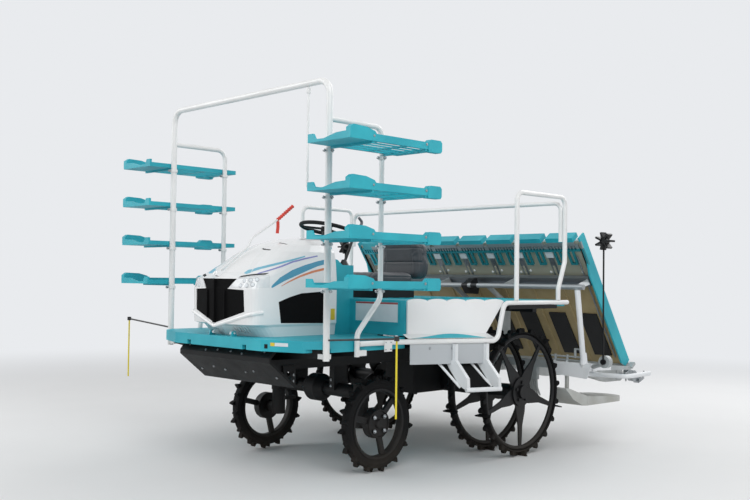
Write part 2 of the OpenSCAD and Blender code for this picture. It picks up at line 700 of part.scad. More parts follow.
// A link between two eyes, in a plane across X
module link(a, b, w, t) {
    bar(a + [-t / 2, 0, 0], a + [t / 2, 0, 0], w);
    bar(b + [-t / 2, 0, 0], b + [t / 2, 0, 0], w);
    turn = atan2(b[2] - a[2], b[1] - a[1]);
    translate(a) rotate([turn, 0, 0]) translate([-t * 0.42, 0, -w * 0.35]) cube([t * 0.84, norm(b - a), w * 0.7]);
}

module lower_links() color(black) from_axle() difference() {
    union() {
        both_sides() translate([link_x, 0, 0]) link(link_a, link_b, 80, 26);
        axle(-link_x, link_x, link_a[1] + 0.75 * link_run[1], link_a[2] + 0.75 * link_run[2], 40);
        axle(-rail_x - 12, rail_x + 12, link_a[1], link_a[2], 30);
        for (s = [-1, 1]) translate([s * 34, 0, 0]) hull() {
            translate([-7, lift_d[1], lift_d[2]]) rotate([0, 90, 0]) cylinder(d = 44, h = 14, $fn = 32);
            translate([-7, link_a[1] + 120, link_a[2]]) rotate([0, 90, 0]) cylinder(d = 20, h = 14, $fn = 32);
        }
        axle(-link_x, link_x, link_a[1] + 120, link_a[2] + 10, 36);
        axle(-40, 40, lift_d[1], lift_d[2], 24);
    }
    axle(-link_x - 50, link_x + 50, link_b[1], link_b[2], 30 + 2 * run_gap);
}

module upper_link() color(black) from_axle() difference() {
    union() {
        link(link_a + [0, 0, link_up], link_b + [0, 0, link_up], 60, 60);
        axle(-rail_x - 12, rail_x + 12, link_a[1], link_a[2] + link_up, 30);
    }
    axle(-50, 50, link_b[1], link_b[2] + link_up, 30 + 2 * run_gap);
}

lift_dir = unit(lift_d - lift_c);

module lift_barrel() color("#2b2d30") from_axle() difference() {
    union() {
        bar(lift_c + lift_dir * 20, lift_c + lift_dir * 370, 70);
        axle(-42, 42, lift_c[1], lift_c[2], 60);
        axle(-68, 68, lift_c[1], lift_c[2], 24);
    }
    bar(lift_c + lift_dir * 60, lift_c + lift_dir * 380, 34 + 2 * run_gap);
}

module lift_rod() color(steel) from_axle() difference() {
    union() {
        bar(lift_c + lift_dir * 80, lift_d - lift_dir * 20, 34);
        axle(-22, 22, lift_d[1], lift_d[2], 60);
    }
    axle(-30, 30, lift_d[1], lift_d[2], 34.4);
}

top_rail_z = 1262;
top_rail_y = 1712;
// The slide rail under the table: its place down the slope and off the table
slide_s = [310, 390];
slide_off = [-62, -22];
slide_end = 1076;
slide_mid = [for (k = [0]) let(s = (slide_s[0] + slide_s[1]) / 2, o = (slide_off[0] + slide_off[1]) / 2)
    [table_top_y + s * cos(table_lean) + o * sin(table_lean), table_top_z - s * sin(table_lean) + o * cos(table_lean)]][0];
end_plate_pts = [[771, 570], [1109, 550], [1152, 668], [797, 670]];

module planter_frame() color(light_grey) from_axle() {
    // Main cross tube
    block([-1160, cross_y, cross_z - 30], [1160, cross_y + 60, cross_z + 30]);
    // Hitch plates from the cross tube up to the upper link
    both_sides() profile(link_x + 40, 16, [
        [link_b[1] - 55, link_b[2] - 55], [link_b[1] + 55, link_b[2] - 55],
        [link_b[1] + 55, link_b[2] + link_up + 50], [link_b[1] - 55, link_b[2] + link_up + 50]]);
    both_sides() profile(link_x + 40, 16, [
        [cross_y - 30, cross_z - 45], [cross_y + 70, cross_z - 45],
        [link_b[1] + 50, link_b[2] + 60], [link_b[1] - 50, link_b[2] + 60]]);
    axle(-link_x - 48, link_x + 48, link_b[1], link_b[2], 30);
    axle(-link_x - 48, link_x + 48, link_b[1], link_b[2] + link_up, 30);
    // Support posts, wider at their feet, and the white tube that they carry
    both_sides() bar([post_x, cross_y + 10, cross_z], [post_x, top_rail_y, top_rail_z], 44);
    both_sides() translate([post_x, cross_y + 8, cross_z + 20]) cylinder(d1 = 66, d2 = 44, h = 90);
    both_sides() bar([link_x + 40, link_b[1], link_b[2] + link_up + 20], [link_x + 40, top_rail_y, top_rail_z], 40);
    axle(-post_x - 60, post_x + 60, top_rail_y, top_rail_z, 40);
    // Galvanised slide rail under the table, on arms from the white tube
    translate([0, table_top_y, table_top_z]) rotate([-table_lean, 0, 0]) difference() {
        block([-slide_end, slide_s[0], slide_off[0]], [slide_end, slide_s[1], slide_off[1]]);
        block([-slide_end - 1, slide_s[0] + 22, slide_off[0] - 1], [slide_end + 1, slide_s[1] - 22, slide_off[0] + 14]);
    }
    for (x = [-slide_end + 6, -360, 360, slide_end - 6]) profile(x, 11.8, [
        [top_rail_y - 2, top_rail_z - 19], [top_rail_y + 4, top_rail_z + 19], slide_mid + [-12, 22], slide_mid + [6, -24]]);
    // Black bracket in the middle
    profile(-50, 64, [[1700, 1244], [1716, 1279], [1794, 1322], [1828, 1322], [1862, 1240], [1850, 1186], [1744, 1190]]);
    // Lower rail on which the table slides, on arms from the cross tube
    translate([0, table_low_y, table_low_z]) rotate([-table_lean, 0, 0])
        block([-1152, seat_gap, -26], [1152, seat_gap + 22, 34]);
    for (x = [-1130, -600, 600, 1130]) profile(x, 14, [
        [cross_y + 30, cross_z - 25], [table_low_y - 14, table_low_z - 40], [table_low_y + 12, table_low_z - 30],
        [table_low_y - 12, table_low_z - 14], [cross_y + 30, cross_z + 25]]);
    // End plates and side guards
    both_sides() front_cut(end_plate_pts, cross_y - 10, cross_y + 1);
    both_sides() bent_tube([[1080, cross_y + 30, 586], [1430, cross_y + 40, 592], [1500, 2050, 610]], rail_d, 60);
    both_sides() block([1080, cross_y - 6, 570], [1110, cross_y + 40, 612]);
    // Row of rods and a small frame inside the post
    both_sides() {
        axle(620, post_x, cross_y + 12, 712, 14);
        axle(620, post_x, cross_y + 12, 686, 10);
        for (x = [620, 800, 912]) block([x, cross_y + 2, 660], [x + 12, cross_y + 22, 726]);
        block([985, cross_y + 4, 704], [997, cross_y + 20, 780]);
        block([985, cross_y + 4, 768], [1050, cross_y + 20, 780]);
    }
    // Rakes under the cross tube
    both_sides() {
        block([470, cross_y + 4, 505], [630, cross_y + 40, cross_z - 25]);
        block([500, cross_y - 30, 530], [590, cross_y + 6, 600]);
        for (i = [0:6]) profile(482 + i * 22, 7, [
            [cross_y + 10, 520], [cross_y + 34, 520], [cross_y + 44, 440], [cross_y + 84, 372], [cross_y + 72, 370],
            [cross_y + 24, 436]]);
    }
    // Marker brackets
    both_sides() difference() {
        union() {
            bar([1130, cross_y + 30, cross_z], [marker_x - 12, marker_y + 30, marker_z - 6], 36);
            translate([marker_x, marker_y - 20, marker_z]) rotate([-90, 0, 0]) cylinder(d = 92, h = 46);
            translate([marker_x, marker_y + 20, marker_z]) rotate([-90, 0, 0]) cylinder(d = 60, h = 30);
        }
        translate([marker_x, marker_y - 21, marker_z]) rotate([-90, 0, 0]) cylinder(d = 20 + 2 * run_gap, h = 72);
    }
}

module drive_cases() color(light_grey) from_axle()
    for (i = [0:3]) translate([(i - 1.5) * 2 * row_pitch, 0, 0]) difference() {
        union() {
            profile(0, 60, [
                [cross_y + 60 + seat_gap, cross_z - 50], [head_y - 200, head_z - 50], [head_y, head_z - 52],
                [head_y, head_z + 52], [head_y - 120, head_z + 50], [cross_y + 60 + seat_gap, cross_z + 20]]);
            axle(-34, 34, head_y, head_z, 108);
            block([-40, cross_y + 60 + seat_gap, cross_z - 58], [40, cross_y + 84, cross_z + 28]);
        }
        axle(-60, 60, head_y, head_z, 30 + 2 * run_gap);
    }

float_w = 300;

module floats() color(light_grey) from_axle()
    for (x = [-900, 0, 900]) translate([x, 0, 0]) {
        intersection() {
            profile(0, float_w, [
                [1728, 462], [1790, 380], [1866, 330], [2400, 326], [2490, 342], [2490, 362], [2330, 372], [1900, 404],
                [1748, 470]]);
            union() {
                translate([0, 2340, 320]) cylinder(d = float_w - 1, h = 200);
                block([-float_w / 2 + 0.5, 1900, 320], [float_w / 2 - 0.5, 2340, 500]);
                translate([0, 0, 320]) linear_extrude(200)
                    polygon([[-float_w / 2 + 0.5, 1905], [-60, 1722], [60, 1722], [float_w / 2 - 0.5, 1905]]);
            }
        }
        block([-10, cross_y + 20, 398], [10, cross_y + 50, cross_z - 30 - seat_gap]);
    }

// Places a piece on the seedling table: x across, y down the slope, z off its face
module on_table() from_axle() translate([table_shift, table_top_y, table_top_z]) rotate([-table_lean, 0, 0]) children();

rib_w = 36;
belt_w = 160;
belt_from = table_len - 508;
belt_len = 420;

module lanes() for (i = [0:row_count - 1]) translate([(i - (row_count - 1) / 2) * row_pitch, 0, 0]) children();

module seedling_table() color(tan_board) on_table() {
    difference() {
        block([-table_half, 0, 0], [table_half, table_len, table_t]);
        lanes() block([-belt_w / 2 - seat_gap, belt_from, -1], [belt_w / 2 + seat_gap, belt_from + belt_len, table_t + 1]);
    }
    // Dividers of the lanes above, seams of the panels below
    for (i = [0:row_count]) translate([(i - row_count / 2) * row_pitch, 0, table_t])
        block([-rib_w / 2, 0, -1], [rib_w / 2, table_len - 40, 22]);
    for (i = [1:row_count - 1]) translate([(i - row_count / 2) * row_pitch, 0, 0])
        block([-9, 230, -8], [9, table_len - 20, 1]);
}

module table_trim() color(teal) on_table() {
    for (i = [0:row_count]) translate([(i - row_count / 2) * row_pitch, 0, table_t + 22 + seat_gap])
        block([-rib_w / 2 - 4, 60, 0], [rib_w / 2 + 4, table_len - 40, 8]);
    // Ladder strip under the top edge, with the caps above it and the combs below it
    difference() {
        block([-table_half + 20, 22, -16], [table_half - 20, 88, -seat_gap]);
        lanes() for (k = [-4:4]) block([k * 30 - 9, 36, -17], [k * 30 + 9, 74, -4]);
    }
    lanes() {
        block([-125, -40, -20], [125, -seat_gap, table_t + 40]);
        block([-125, -10, -20], [125, 30, -seat_gap]);
        for (x = [-62, 62]) {
            for (side = [-1, 1]) block([x + side * 24 - 7, 80, -20], [x + side * 24 + 7, 210, -seat_gap]);
            block([x - 31, 198, -20], [x + 31, 212, -seat_gap]);
        }
    }
    // Strips at both ends of the table
    both_sides() profile(table_half + 7 + seat_gap, 14, [
        [-34, -14], [190, -18], [290, -50], [table_len - 60, -62], [table_len - 8, -30], [table_len - 8, 44], [-34, 66]]);
}

module table_belts() color(black) on_table()
    lanes() block([-belt_w / 2, belt_from + seat_gap, -14], [belt_w / 2, belt_from + belt_len - seat_gap, table_t + 8]);

parked_tilt = -24;

// One rotary case with its two planting arms, around the axis of the heads
module rotary_head() {
    axle(-22, 22, 0, 0, 92);
    for (turn = [0, 180]) rotate([turn, 0, 0]) {
        axle(-19, 19, 84, 0, 62);
        profile(0, 36, [[0, -40], [84, -27], [84, 27], [0, 40]]);
        // Arm with a claw
        axle(17, 34, 84, 0, 40);
        profile(27, 12, [[70, -14], [98, -16], [140, 26], [150, 34], [128, 36], [78, 14]]);
        for (x = [23, 31]) profile(x, 4, [[126, 22], [142, 30], [126, 78], [118, 92], [120, 66]]);
    }
}

module planting_heads() color(steel) from_axle() {
    axle(-1130, 1130, head_y, head_z, 30);
    lanes() translate([0, head_y, head_z]) rotate([parked_tilt, 0, 0]) rotary_head();
}

module line_marker() color(black) from_axle() {
    translate([marker_x, marker_y - 30, marker_z]) rotate([-90, 0, 0]) cylinder(d = 20, h = 90);
    translate([marker_x, marker_y - 39, marker_z]) rotate([-90, 0, 0]) cylinder(d = 40, h = 18);
    bar([marker_x, marker_y - 30, marker_z], [marker_x, marker_y - 30, 1560], 13);
    // Rotor: hub and blades
    translate([marker_x + 8, marker_y - 30, 1606]) rotate([-90, 0, 0]) {
        translate([0, 0, -24]) cylinder(d = 58, h = 48);
        for (i = [0:6]) rotate([0, 0, i * 360 / 7]) translate([20, -7, -34]) cube([46, 14, 68]);
    }
    bar([marker_x, marker_y - 30, 1550], [marker_x + 8, marker_y - 30, 1600], 15);
}

module line_marker_left() line_marker();
module line_marker_right() mirror([1, 0, 0]) line_marker();

main_frame();
engine_block();
axle_cases();
lower_guard();
front_deck();
rear_deck();
side_panels();
side_tubes();
console();
steering_column();
seat_cushion();
seat_back();
seat_pan();
rack_frame();
shelves();
safety_rails();
steps();
side_markers();
board_hanger();
hood_shell();
hood_grille();
headlamps();
side_screens();
centre_pole();
steering_wheel();
knuckle_left();
knuckle_right();
front_rim_left();
front_rim_right();
front_tyre_left();
front_tyre_right();
rear_rims_left();
rear_rims_right();
rear_tyres_left();
rear_tyres_right();
lower_links();
upper_link();
lift_barrel();
lift_rod();
planter_frame();
drive_cases();
floats();
seedling_table();
table_trim();
table_belts();
planting_heads();
line_marker_left();
line_marker_right();
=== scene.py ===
"""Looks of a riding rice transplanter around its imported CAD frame.

Every length here is in metres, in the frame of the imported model: +Z up, +Y to the rear, +X to the driver's
left, with the origin on the ground under the middle of the machine. AXLE_Y is where the front axle stands.
"""

import json
import logging
import math
from collections.abc import Callable
from dataclasses import dataclass, field
from enum import Enum

import bpy
import numpy as np
from mathutils import Matrix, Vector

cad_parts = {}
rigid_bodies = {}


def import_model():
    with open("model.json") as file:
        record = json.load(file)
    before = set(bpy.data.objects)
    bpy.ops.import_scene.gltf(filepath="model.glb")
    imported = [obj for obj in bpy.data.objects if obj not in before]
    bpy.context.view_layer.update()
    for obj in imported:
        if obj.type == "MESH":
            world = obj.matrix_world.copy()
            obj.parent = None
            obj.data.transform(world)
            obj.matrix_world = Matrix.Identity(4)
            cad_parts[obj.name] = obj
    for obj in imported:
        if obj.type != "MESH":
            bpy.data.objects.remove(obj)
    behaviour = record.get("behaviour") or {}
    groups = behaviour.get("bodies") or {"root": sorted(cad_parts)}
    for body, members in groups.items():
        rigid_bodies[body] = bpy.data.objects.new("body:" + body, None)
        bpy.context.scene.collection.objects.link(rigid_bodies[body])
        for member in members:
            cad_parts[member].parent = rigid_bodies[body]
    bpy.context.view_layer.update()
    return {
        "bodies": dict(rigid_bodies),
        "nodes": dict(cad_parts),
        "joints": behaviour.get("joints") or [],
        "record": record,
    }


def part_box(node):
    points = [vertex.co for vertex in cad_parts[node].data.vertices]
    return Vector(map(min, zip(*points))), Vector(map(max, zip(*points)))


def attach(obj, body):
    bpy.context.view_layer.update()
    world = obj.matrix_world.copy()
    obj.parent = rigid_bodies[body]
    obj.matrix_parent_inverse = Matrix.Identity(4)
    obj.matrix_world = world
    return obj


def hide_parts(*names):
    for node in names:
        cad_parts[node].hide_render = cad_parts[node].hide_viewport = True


LOG = logging.getLogger("rice_transplanter")
AXLE_Y = -0.91194
MM = 0.001
# Left and right, as the sign of X
SIDES = (1, -1)
# The seedling table's upper edge, in millimetres from the front axle, and its lean from the floor
TABLE_TOP = (-140.0, 1721.0, 1620.0)
TABLE_LEAN = 55.0
TABLE_HALF = 1225.0
LANES = 8
LANE_PITCH = 300.0
# Where the side tube's flare starts, in millimetres from the front axle, and its turn from X
FLARE_START = (861.0, -100.0)
FLARE_TURN = 66.87
# A film's outer and inner side, off the surface that it lies on
FILM_PROUD = 0.0013
FILM_CLOSE = 0.0001
# The middle stretch of a noise's values, over which a tone and a roughness go from one end to the other
PATCH_RANGE = (0.35, 0.65)
GRAIN_RANGE = (0.15, 0.4)
# Roughness of a clear coat, roughness of dry dust, and a bump's depth as a share of its grain
COAT_ROUGHNESS = 0.12
DUST_ROUGHNESS = 0.9
BUMP_SHARE = 0.5
# The angle past which an edge stays sharp
SHARP_DEG = 35.0


def linear(hex_colour: str) -> tuple[float, float, float, float]:
    """Turn an sRGB hex colour into linear RGBA.

    Args:
        hex_colour: Six hex digits with a leading hash.

    Returns:
        The linear colour with an alpha of 1.
    """
    values = [int(hex_colour[i:i + 2], 16) / 255 for i in (1, 3, 5)]
    return tuple(v / 12.92 if v <= 0.04045 else ((v + 0.055) / 1.055) ** 2.4 for v in values) + (1.0,)


def at(x: float, y: float, z: float) -> np.ndarray:
    """Turn a place in millimetres from the front axle into metres in the row frame."""
    return np.array([x * MM, y * MM + AXLE_Y, z * MM])


def placed(points: np.ndarray) -> np.ndarray:
    """Turn any array of places in millimetres from the front axle into metres in the row frame."""
    return np.asarray(points, float) * MM + np.array([0.0, AXLE_Y, 0.0])


def spread(x: float | np.ndarray, y: float | np.ndarray, z: float | np.ndarray) -> np.ndarray:
    """Join three coordinates, each one number, a row, a column or a whole grid, into one grid of places."""
    return np.stack(np.broadcast_arrays(x, y, z), -1)


def mirrored(corners: tuple, side: int) -> tuple:
    """Give places on the left, or on the right in the other order, so that a sheet between them faces alike.

    Args:
        corners: The places on the left.
        side: 1 for the left, -1 for the right.

    Returns:
        The places.
    """
    return tuple((side * x, y, z) for x, y, z in corners[::side])


def from_table(points: np.ndarray) -> np.ndarray:
    """Turn places on the seedling table into millimetres from the front axle.

    A place is across, down the slope and off the face; the slope is a turn about X by the table's lean.

    Args:
        points: The places on the table.

    Returns:
        The same places in the machine's frame.
    """
    lean = math.radians(TABLE_LEAN)
    points = np.asarray(points, float)
    down, off = points[..., 1], points[..., 2]
    return np.stack([points[..., 0] + TABLE_TOP[0],
                     TABLE_TOP[1] + down * math.cos(lean) + off * math.sin(lean),
                     TABLE_TOP[2] - down * math.sin(lean) + off * math.cos(lean)], -1)


def lane_edges(first: int, after: int) -> list[float]:
    """Give the places across the table of its lanes' edges, from one number up to another."""
    return [(lane - LANES / 2) * LANE_PITCH for lane in range(first, after)]


class Look(Enum):
    """The finishes by their plain names."""

    WHITE_COAT = "white powder coated tube"
    WHITE_SHELL = "white moulded plastic"
    TEAL = "teal moulded plastic"
    BLACK_COAT = "black powder coated steel"
    BLACK_PLASTIC = "black moulded plastic"
    BLACK_MESH = "black perforated sheet"
    RUBBER = "black moulded rubber"
    VINYL = "dark grey vinyl"
    LENS = "clear lamp lens"
    ZINC = "zinc plated steel"
    CASTING = "painted dark casting"
    GREY_COAT = "grey enamelled casting"
    FLOAT = "light grey blow moulded plastic"
    BELT = "black rubber belt"
    RED = "red plastic ribbon"
    YELLOW = "yellow plastic stick"
    BLUE = "blue vinyl film"
    VIOLET = "violet vinyl film"
    ORANGE = "orange vinyl film"
    PLATE_WHITE = "white printed plate"
    RED_BAND = "red printed band"
    GRIP = "black step grip"
    GALVANISED = "galvanised steel"
    PALE_BLUE = "pale blue vinyl film"
    BEZEL = "grey lamp bezel"
    STEP_COAT = "white step with grey panel"
    TRIM = "teal table trim"
    UNIT_FRAME = "painted planting frame"
    MARKER_STICK = "black bar with yellow stick"
    TABLE_BOARD = "seedling table board"
    COLUMN = "black steering column"


def add_node(tree: bpy.types.NodeTree, kind: str, inputs: dict | None = None,
             **settings: object) -> bpy.types.Node:
    """Add one shader node with its settings and links.

    Args:
        tree: The material's node tree.
        kind: The node's type name.
        inputs: Socket name or number to a value, or to an output socket to link.
        settings: Attributes of the node.

    Returns:
        The new node.
    """
    node = tree.nodes.new(kind)
    for name, value in settings.items():
        setattr(node, name, value)
    for name, value in (inputs or {}).items():
        if isinstance(value, bpy.types.NodeSocket):
            tree.links.new(value, node.inputs[name])
        else:
            node.inputs[name].default_value = value
    return node


@dataclass(frozen=True)
class Zone:
    """A part of a node that is coated otherwise or painted darker as shade, as a box in millimetres from the
    front axle.

    A None leaves that side open, and X counts from the middle to either side. On the seedling table the box
    has the table's own axes: across, down the slope and off its face. On the side tube's flare it has the
    flare's: along it, across it and up.
    """

    base: str
    x: tuple | None = None
    y: tuple | None = None
    z: tuple | None = None
    rough: float = 0.4
    metallic: float = 0.0
    on_table: bool = False
    on_flare: bool = False

    def mask(self, tree: bpy.types.NodeTree, place: bpy.types.NodeSocket) -> bpy.types.NodeSocket:
        """Build a mask that is 1 inside the box, as the product of one comparison per axis.

        Args:
            tree: The node tree.
            place: Object coordinates.

        Returns:
            The mask's socket.
        """
        whole = add_node(tree, "ShaderNodeSeparateXYZ", {0: place})
        across = add_node(tree, "ShaderNodeMath", {0: whole.outputs[0]}, operation="ABSOLUTE")
        folded = add_node(tree, "ShaderNodeCombineXYZ",
                          {0: across.outputs[0], 1: whole.outputs[1], 2: whole.outputs[2]})
        start, turn = at(0.0, 0.0, 0.0), (0.0, 0.0, 0.0)
        if self.on_table:
            start, turn = at(0.0, TABLE_TOP[1], TABLE_TOP[2]), (-math.radians(TABLE_LEAN), 0.0, 0.0)
        if self.on_flare:
            start, turn = at(*FLARE_START, 0.0), (0.0, 0.0, math.radians(FLARE_TURN))
        local = add_node(tree, "ShaderNodeMapping", vector_type="TEXTURE",
                         inputs={"Vector": folded.outputs[0], "Location": start, "Rotation": turn})
        parts = add_node(tree, "ShaderNodeSeparateXYZ", {0: local.outputs[0]})
        product = None
        for reach, values in zip((self.x, self.y, self.z), parts.outputs):
            if reach is None:
                continue
            middle, half = (reach[0] + reach[1]) / 2 * MM, (reach[1] - reach[0]) / 2 * MM
            inside = add_node(tree, "ShaderNodeMath", {0: values, 1: middle, 2: half}, operation="COMPARE")
            if product is None:
                product = inside.outputs[0]
            else:
                product = add_node(tree, "ShaderNodeMath", {0: product, 1: inside.outputs[0]},
                                   operation="MULTIPLY").outputs[0]
        return product


@dataclass(frozen=True)
class Finish:
    """A surface made by moulding, coating or rolling, with fine grain and slow shifts of tone.

    The colour moves between base and worn over patch_mm, and the grain of grain_mm gives roughness and bump.
    """

    base: str
    worn: str
    patch_mm: float = 180.0
    grain_mm: float = 2.0
    rough_low: float = 0.35
    rough_high: float = 0.5
    bump: float = 0.1
    metallic: float = 0.0
    coat: float = 0.0
    dust: str = ""
    dust_top_mm: float = 500.0
    sheen: float = 0.0
    transmission: float = 0.0
    specular: float = 0.5
    zones: tuple[Zone, ...] = ()

    def material(self, name: str) -> bpy.types.Material:
        """Build the material.

        Args:
            name: The finish's plain name.

        Returns:
            The new material.
        """
        mat = bpy.data.materials.new(name)
        mat.use_nodes = True
        tree = mat.node_tree
        tree.nodes.clear()
        place = add_node(tree, "ShaderNodeTexCoord").outputs["Object"]
        patch, grain = (add_node(tree, "ShaderNodeTexNoise",
                                 {"Vector": place, "Scale": 1000 / size_mm, "Detail": detail})
                        for size_mm, detail in ((self.patch_mm, 4.0), (self.grain_mm, 2.0)))
        share = add_node(tree, "ShaderNodeMapRange",
                         {0: patch.outputs[0], 1: PATCH_RANGE[0], 2: PATCH_RANGE[1]})
        tone = add_node(tree, "ShaderNodeMix", data_type="RGBA",
                        inputs={0: share.outputs[0], 6: linear(self.base), 7: linear(self.worn)})
        colour = tone.outputs[2]
        grime = add_node(tree, "ShaderNodeMath", {0: patch.outputs[0], 1: grain.outputs[0]},
                         operation="MULTIPLY")
        rough = add_node(tree, "ShaderNodeMapRange", {
            0: grime.outputs[0], 1: GRAIN_RANGE[0], 2: GRAIN_RANGE[1], 3: self.rough_low, 4: self.rough_high})
        rough_out, metal = rough.outputs[0], self.metallic
        mixed_metal = any(zone.metallic != self.metallic for zone in self.zones)
        for zone in self.zones:
            mask = zone.mask(tree, place)
            colour = add_node(tree, "ShaderNodeMix", {0: mask, 6: colour, 7: linear(zone.base)},
                              data_type="RGBA").outputs[2]
            rough_out = add_node(tree, "ShaderNodeMix", {0: mask, 2: rough_out, 3: zone.rough}).outputs[0]
            if mixed_metal:
                metal = add_node(tree, "ShaderNodeMix", {0: mask, 2: metal, 3: zone.metallic}).outputs[0]
        if self.dust:
            colour, rough_out = self.dusted(tree, place, patch.outputs[0], colour, rough_out)
        bump = add_node(tree, "ShaderNodeBump", {"Height": grain.outputs[0], "Strength": self.bump,
                                                 "Distance": self.grain_mm * MM * BUMP_SHARE})
        shader = add_node(tree, "ShaderNodeBsdfPrincipled", {
            "Base Color": colour, "Roughness": rough_out, "Normal": bump.outputs[0], "Metallic": metal,
            "Coat Weight": self.coat, "Coat Roughness": COAT_ROUGHNESS, "Sheen Weight": self.sheen,
            "Transmission Weight": self.transmission, "Specular IOR Level": self.specular})
        add_node(tree, "ShaderNodeOutputMaterial", {"Surface": shader.outputs[0]})
        return mat

    def dusted(self, tree: bpy.types.NodeTree, place: bpy.types.NodeSocket, patch: bpy.types.NodeSocket,
               colour: bpy.types.NodeSocket, rough: bpy.types.NodeSocket) -> tuple:
        """Lay dry mud dust over the lower part of the machine.

        Its share falls from the slow noise's value on the ground to 0 at the dust's top.

        Args:
            tree: The node tree.
            place: Object coordinates.
            patch: Slow noise that breaks the dust's edge.
            colour: The colour under the dust.
            rough: The roughness under the dust.

        Returns:
            The colour and roughness sockets with dust.
        """
        height = add_node(tree, "ShaderNodeSeparateXYZ", {0: place}).outputs[2]
        low = add_node(tree, "ShaderNodeMapRange", {0: height, 1: self.dust_top_mm * MM, 2: 0.0})
        share = add_node(tree, "ShaderNodeMath", {0: low.outputs[0], 1: patch}, operation="MULTIPLY")
        dusty = add_node(tree, "ShaderNodeMix", {0: share.outputs[0], 6: colour, 7: linear(self.dust)},
                         data_type="RGBA")
        dull = add_node(tree, "ShaderNodeMix", {0: share.outputs[0], 2: rough, 3: DUST_ROUGHNESS})
        return dusty.outputs[2], dull.outputs[0]


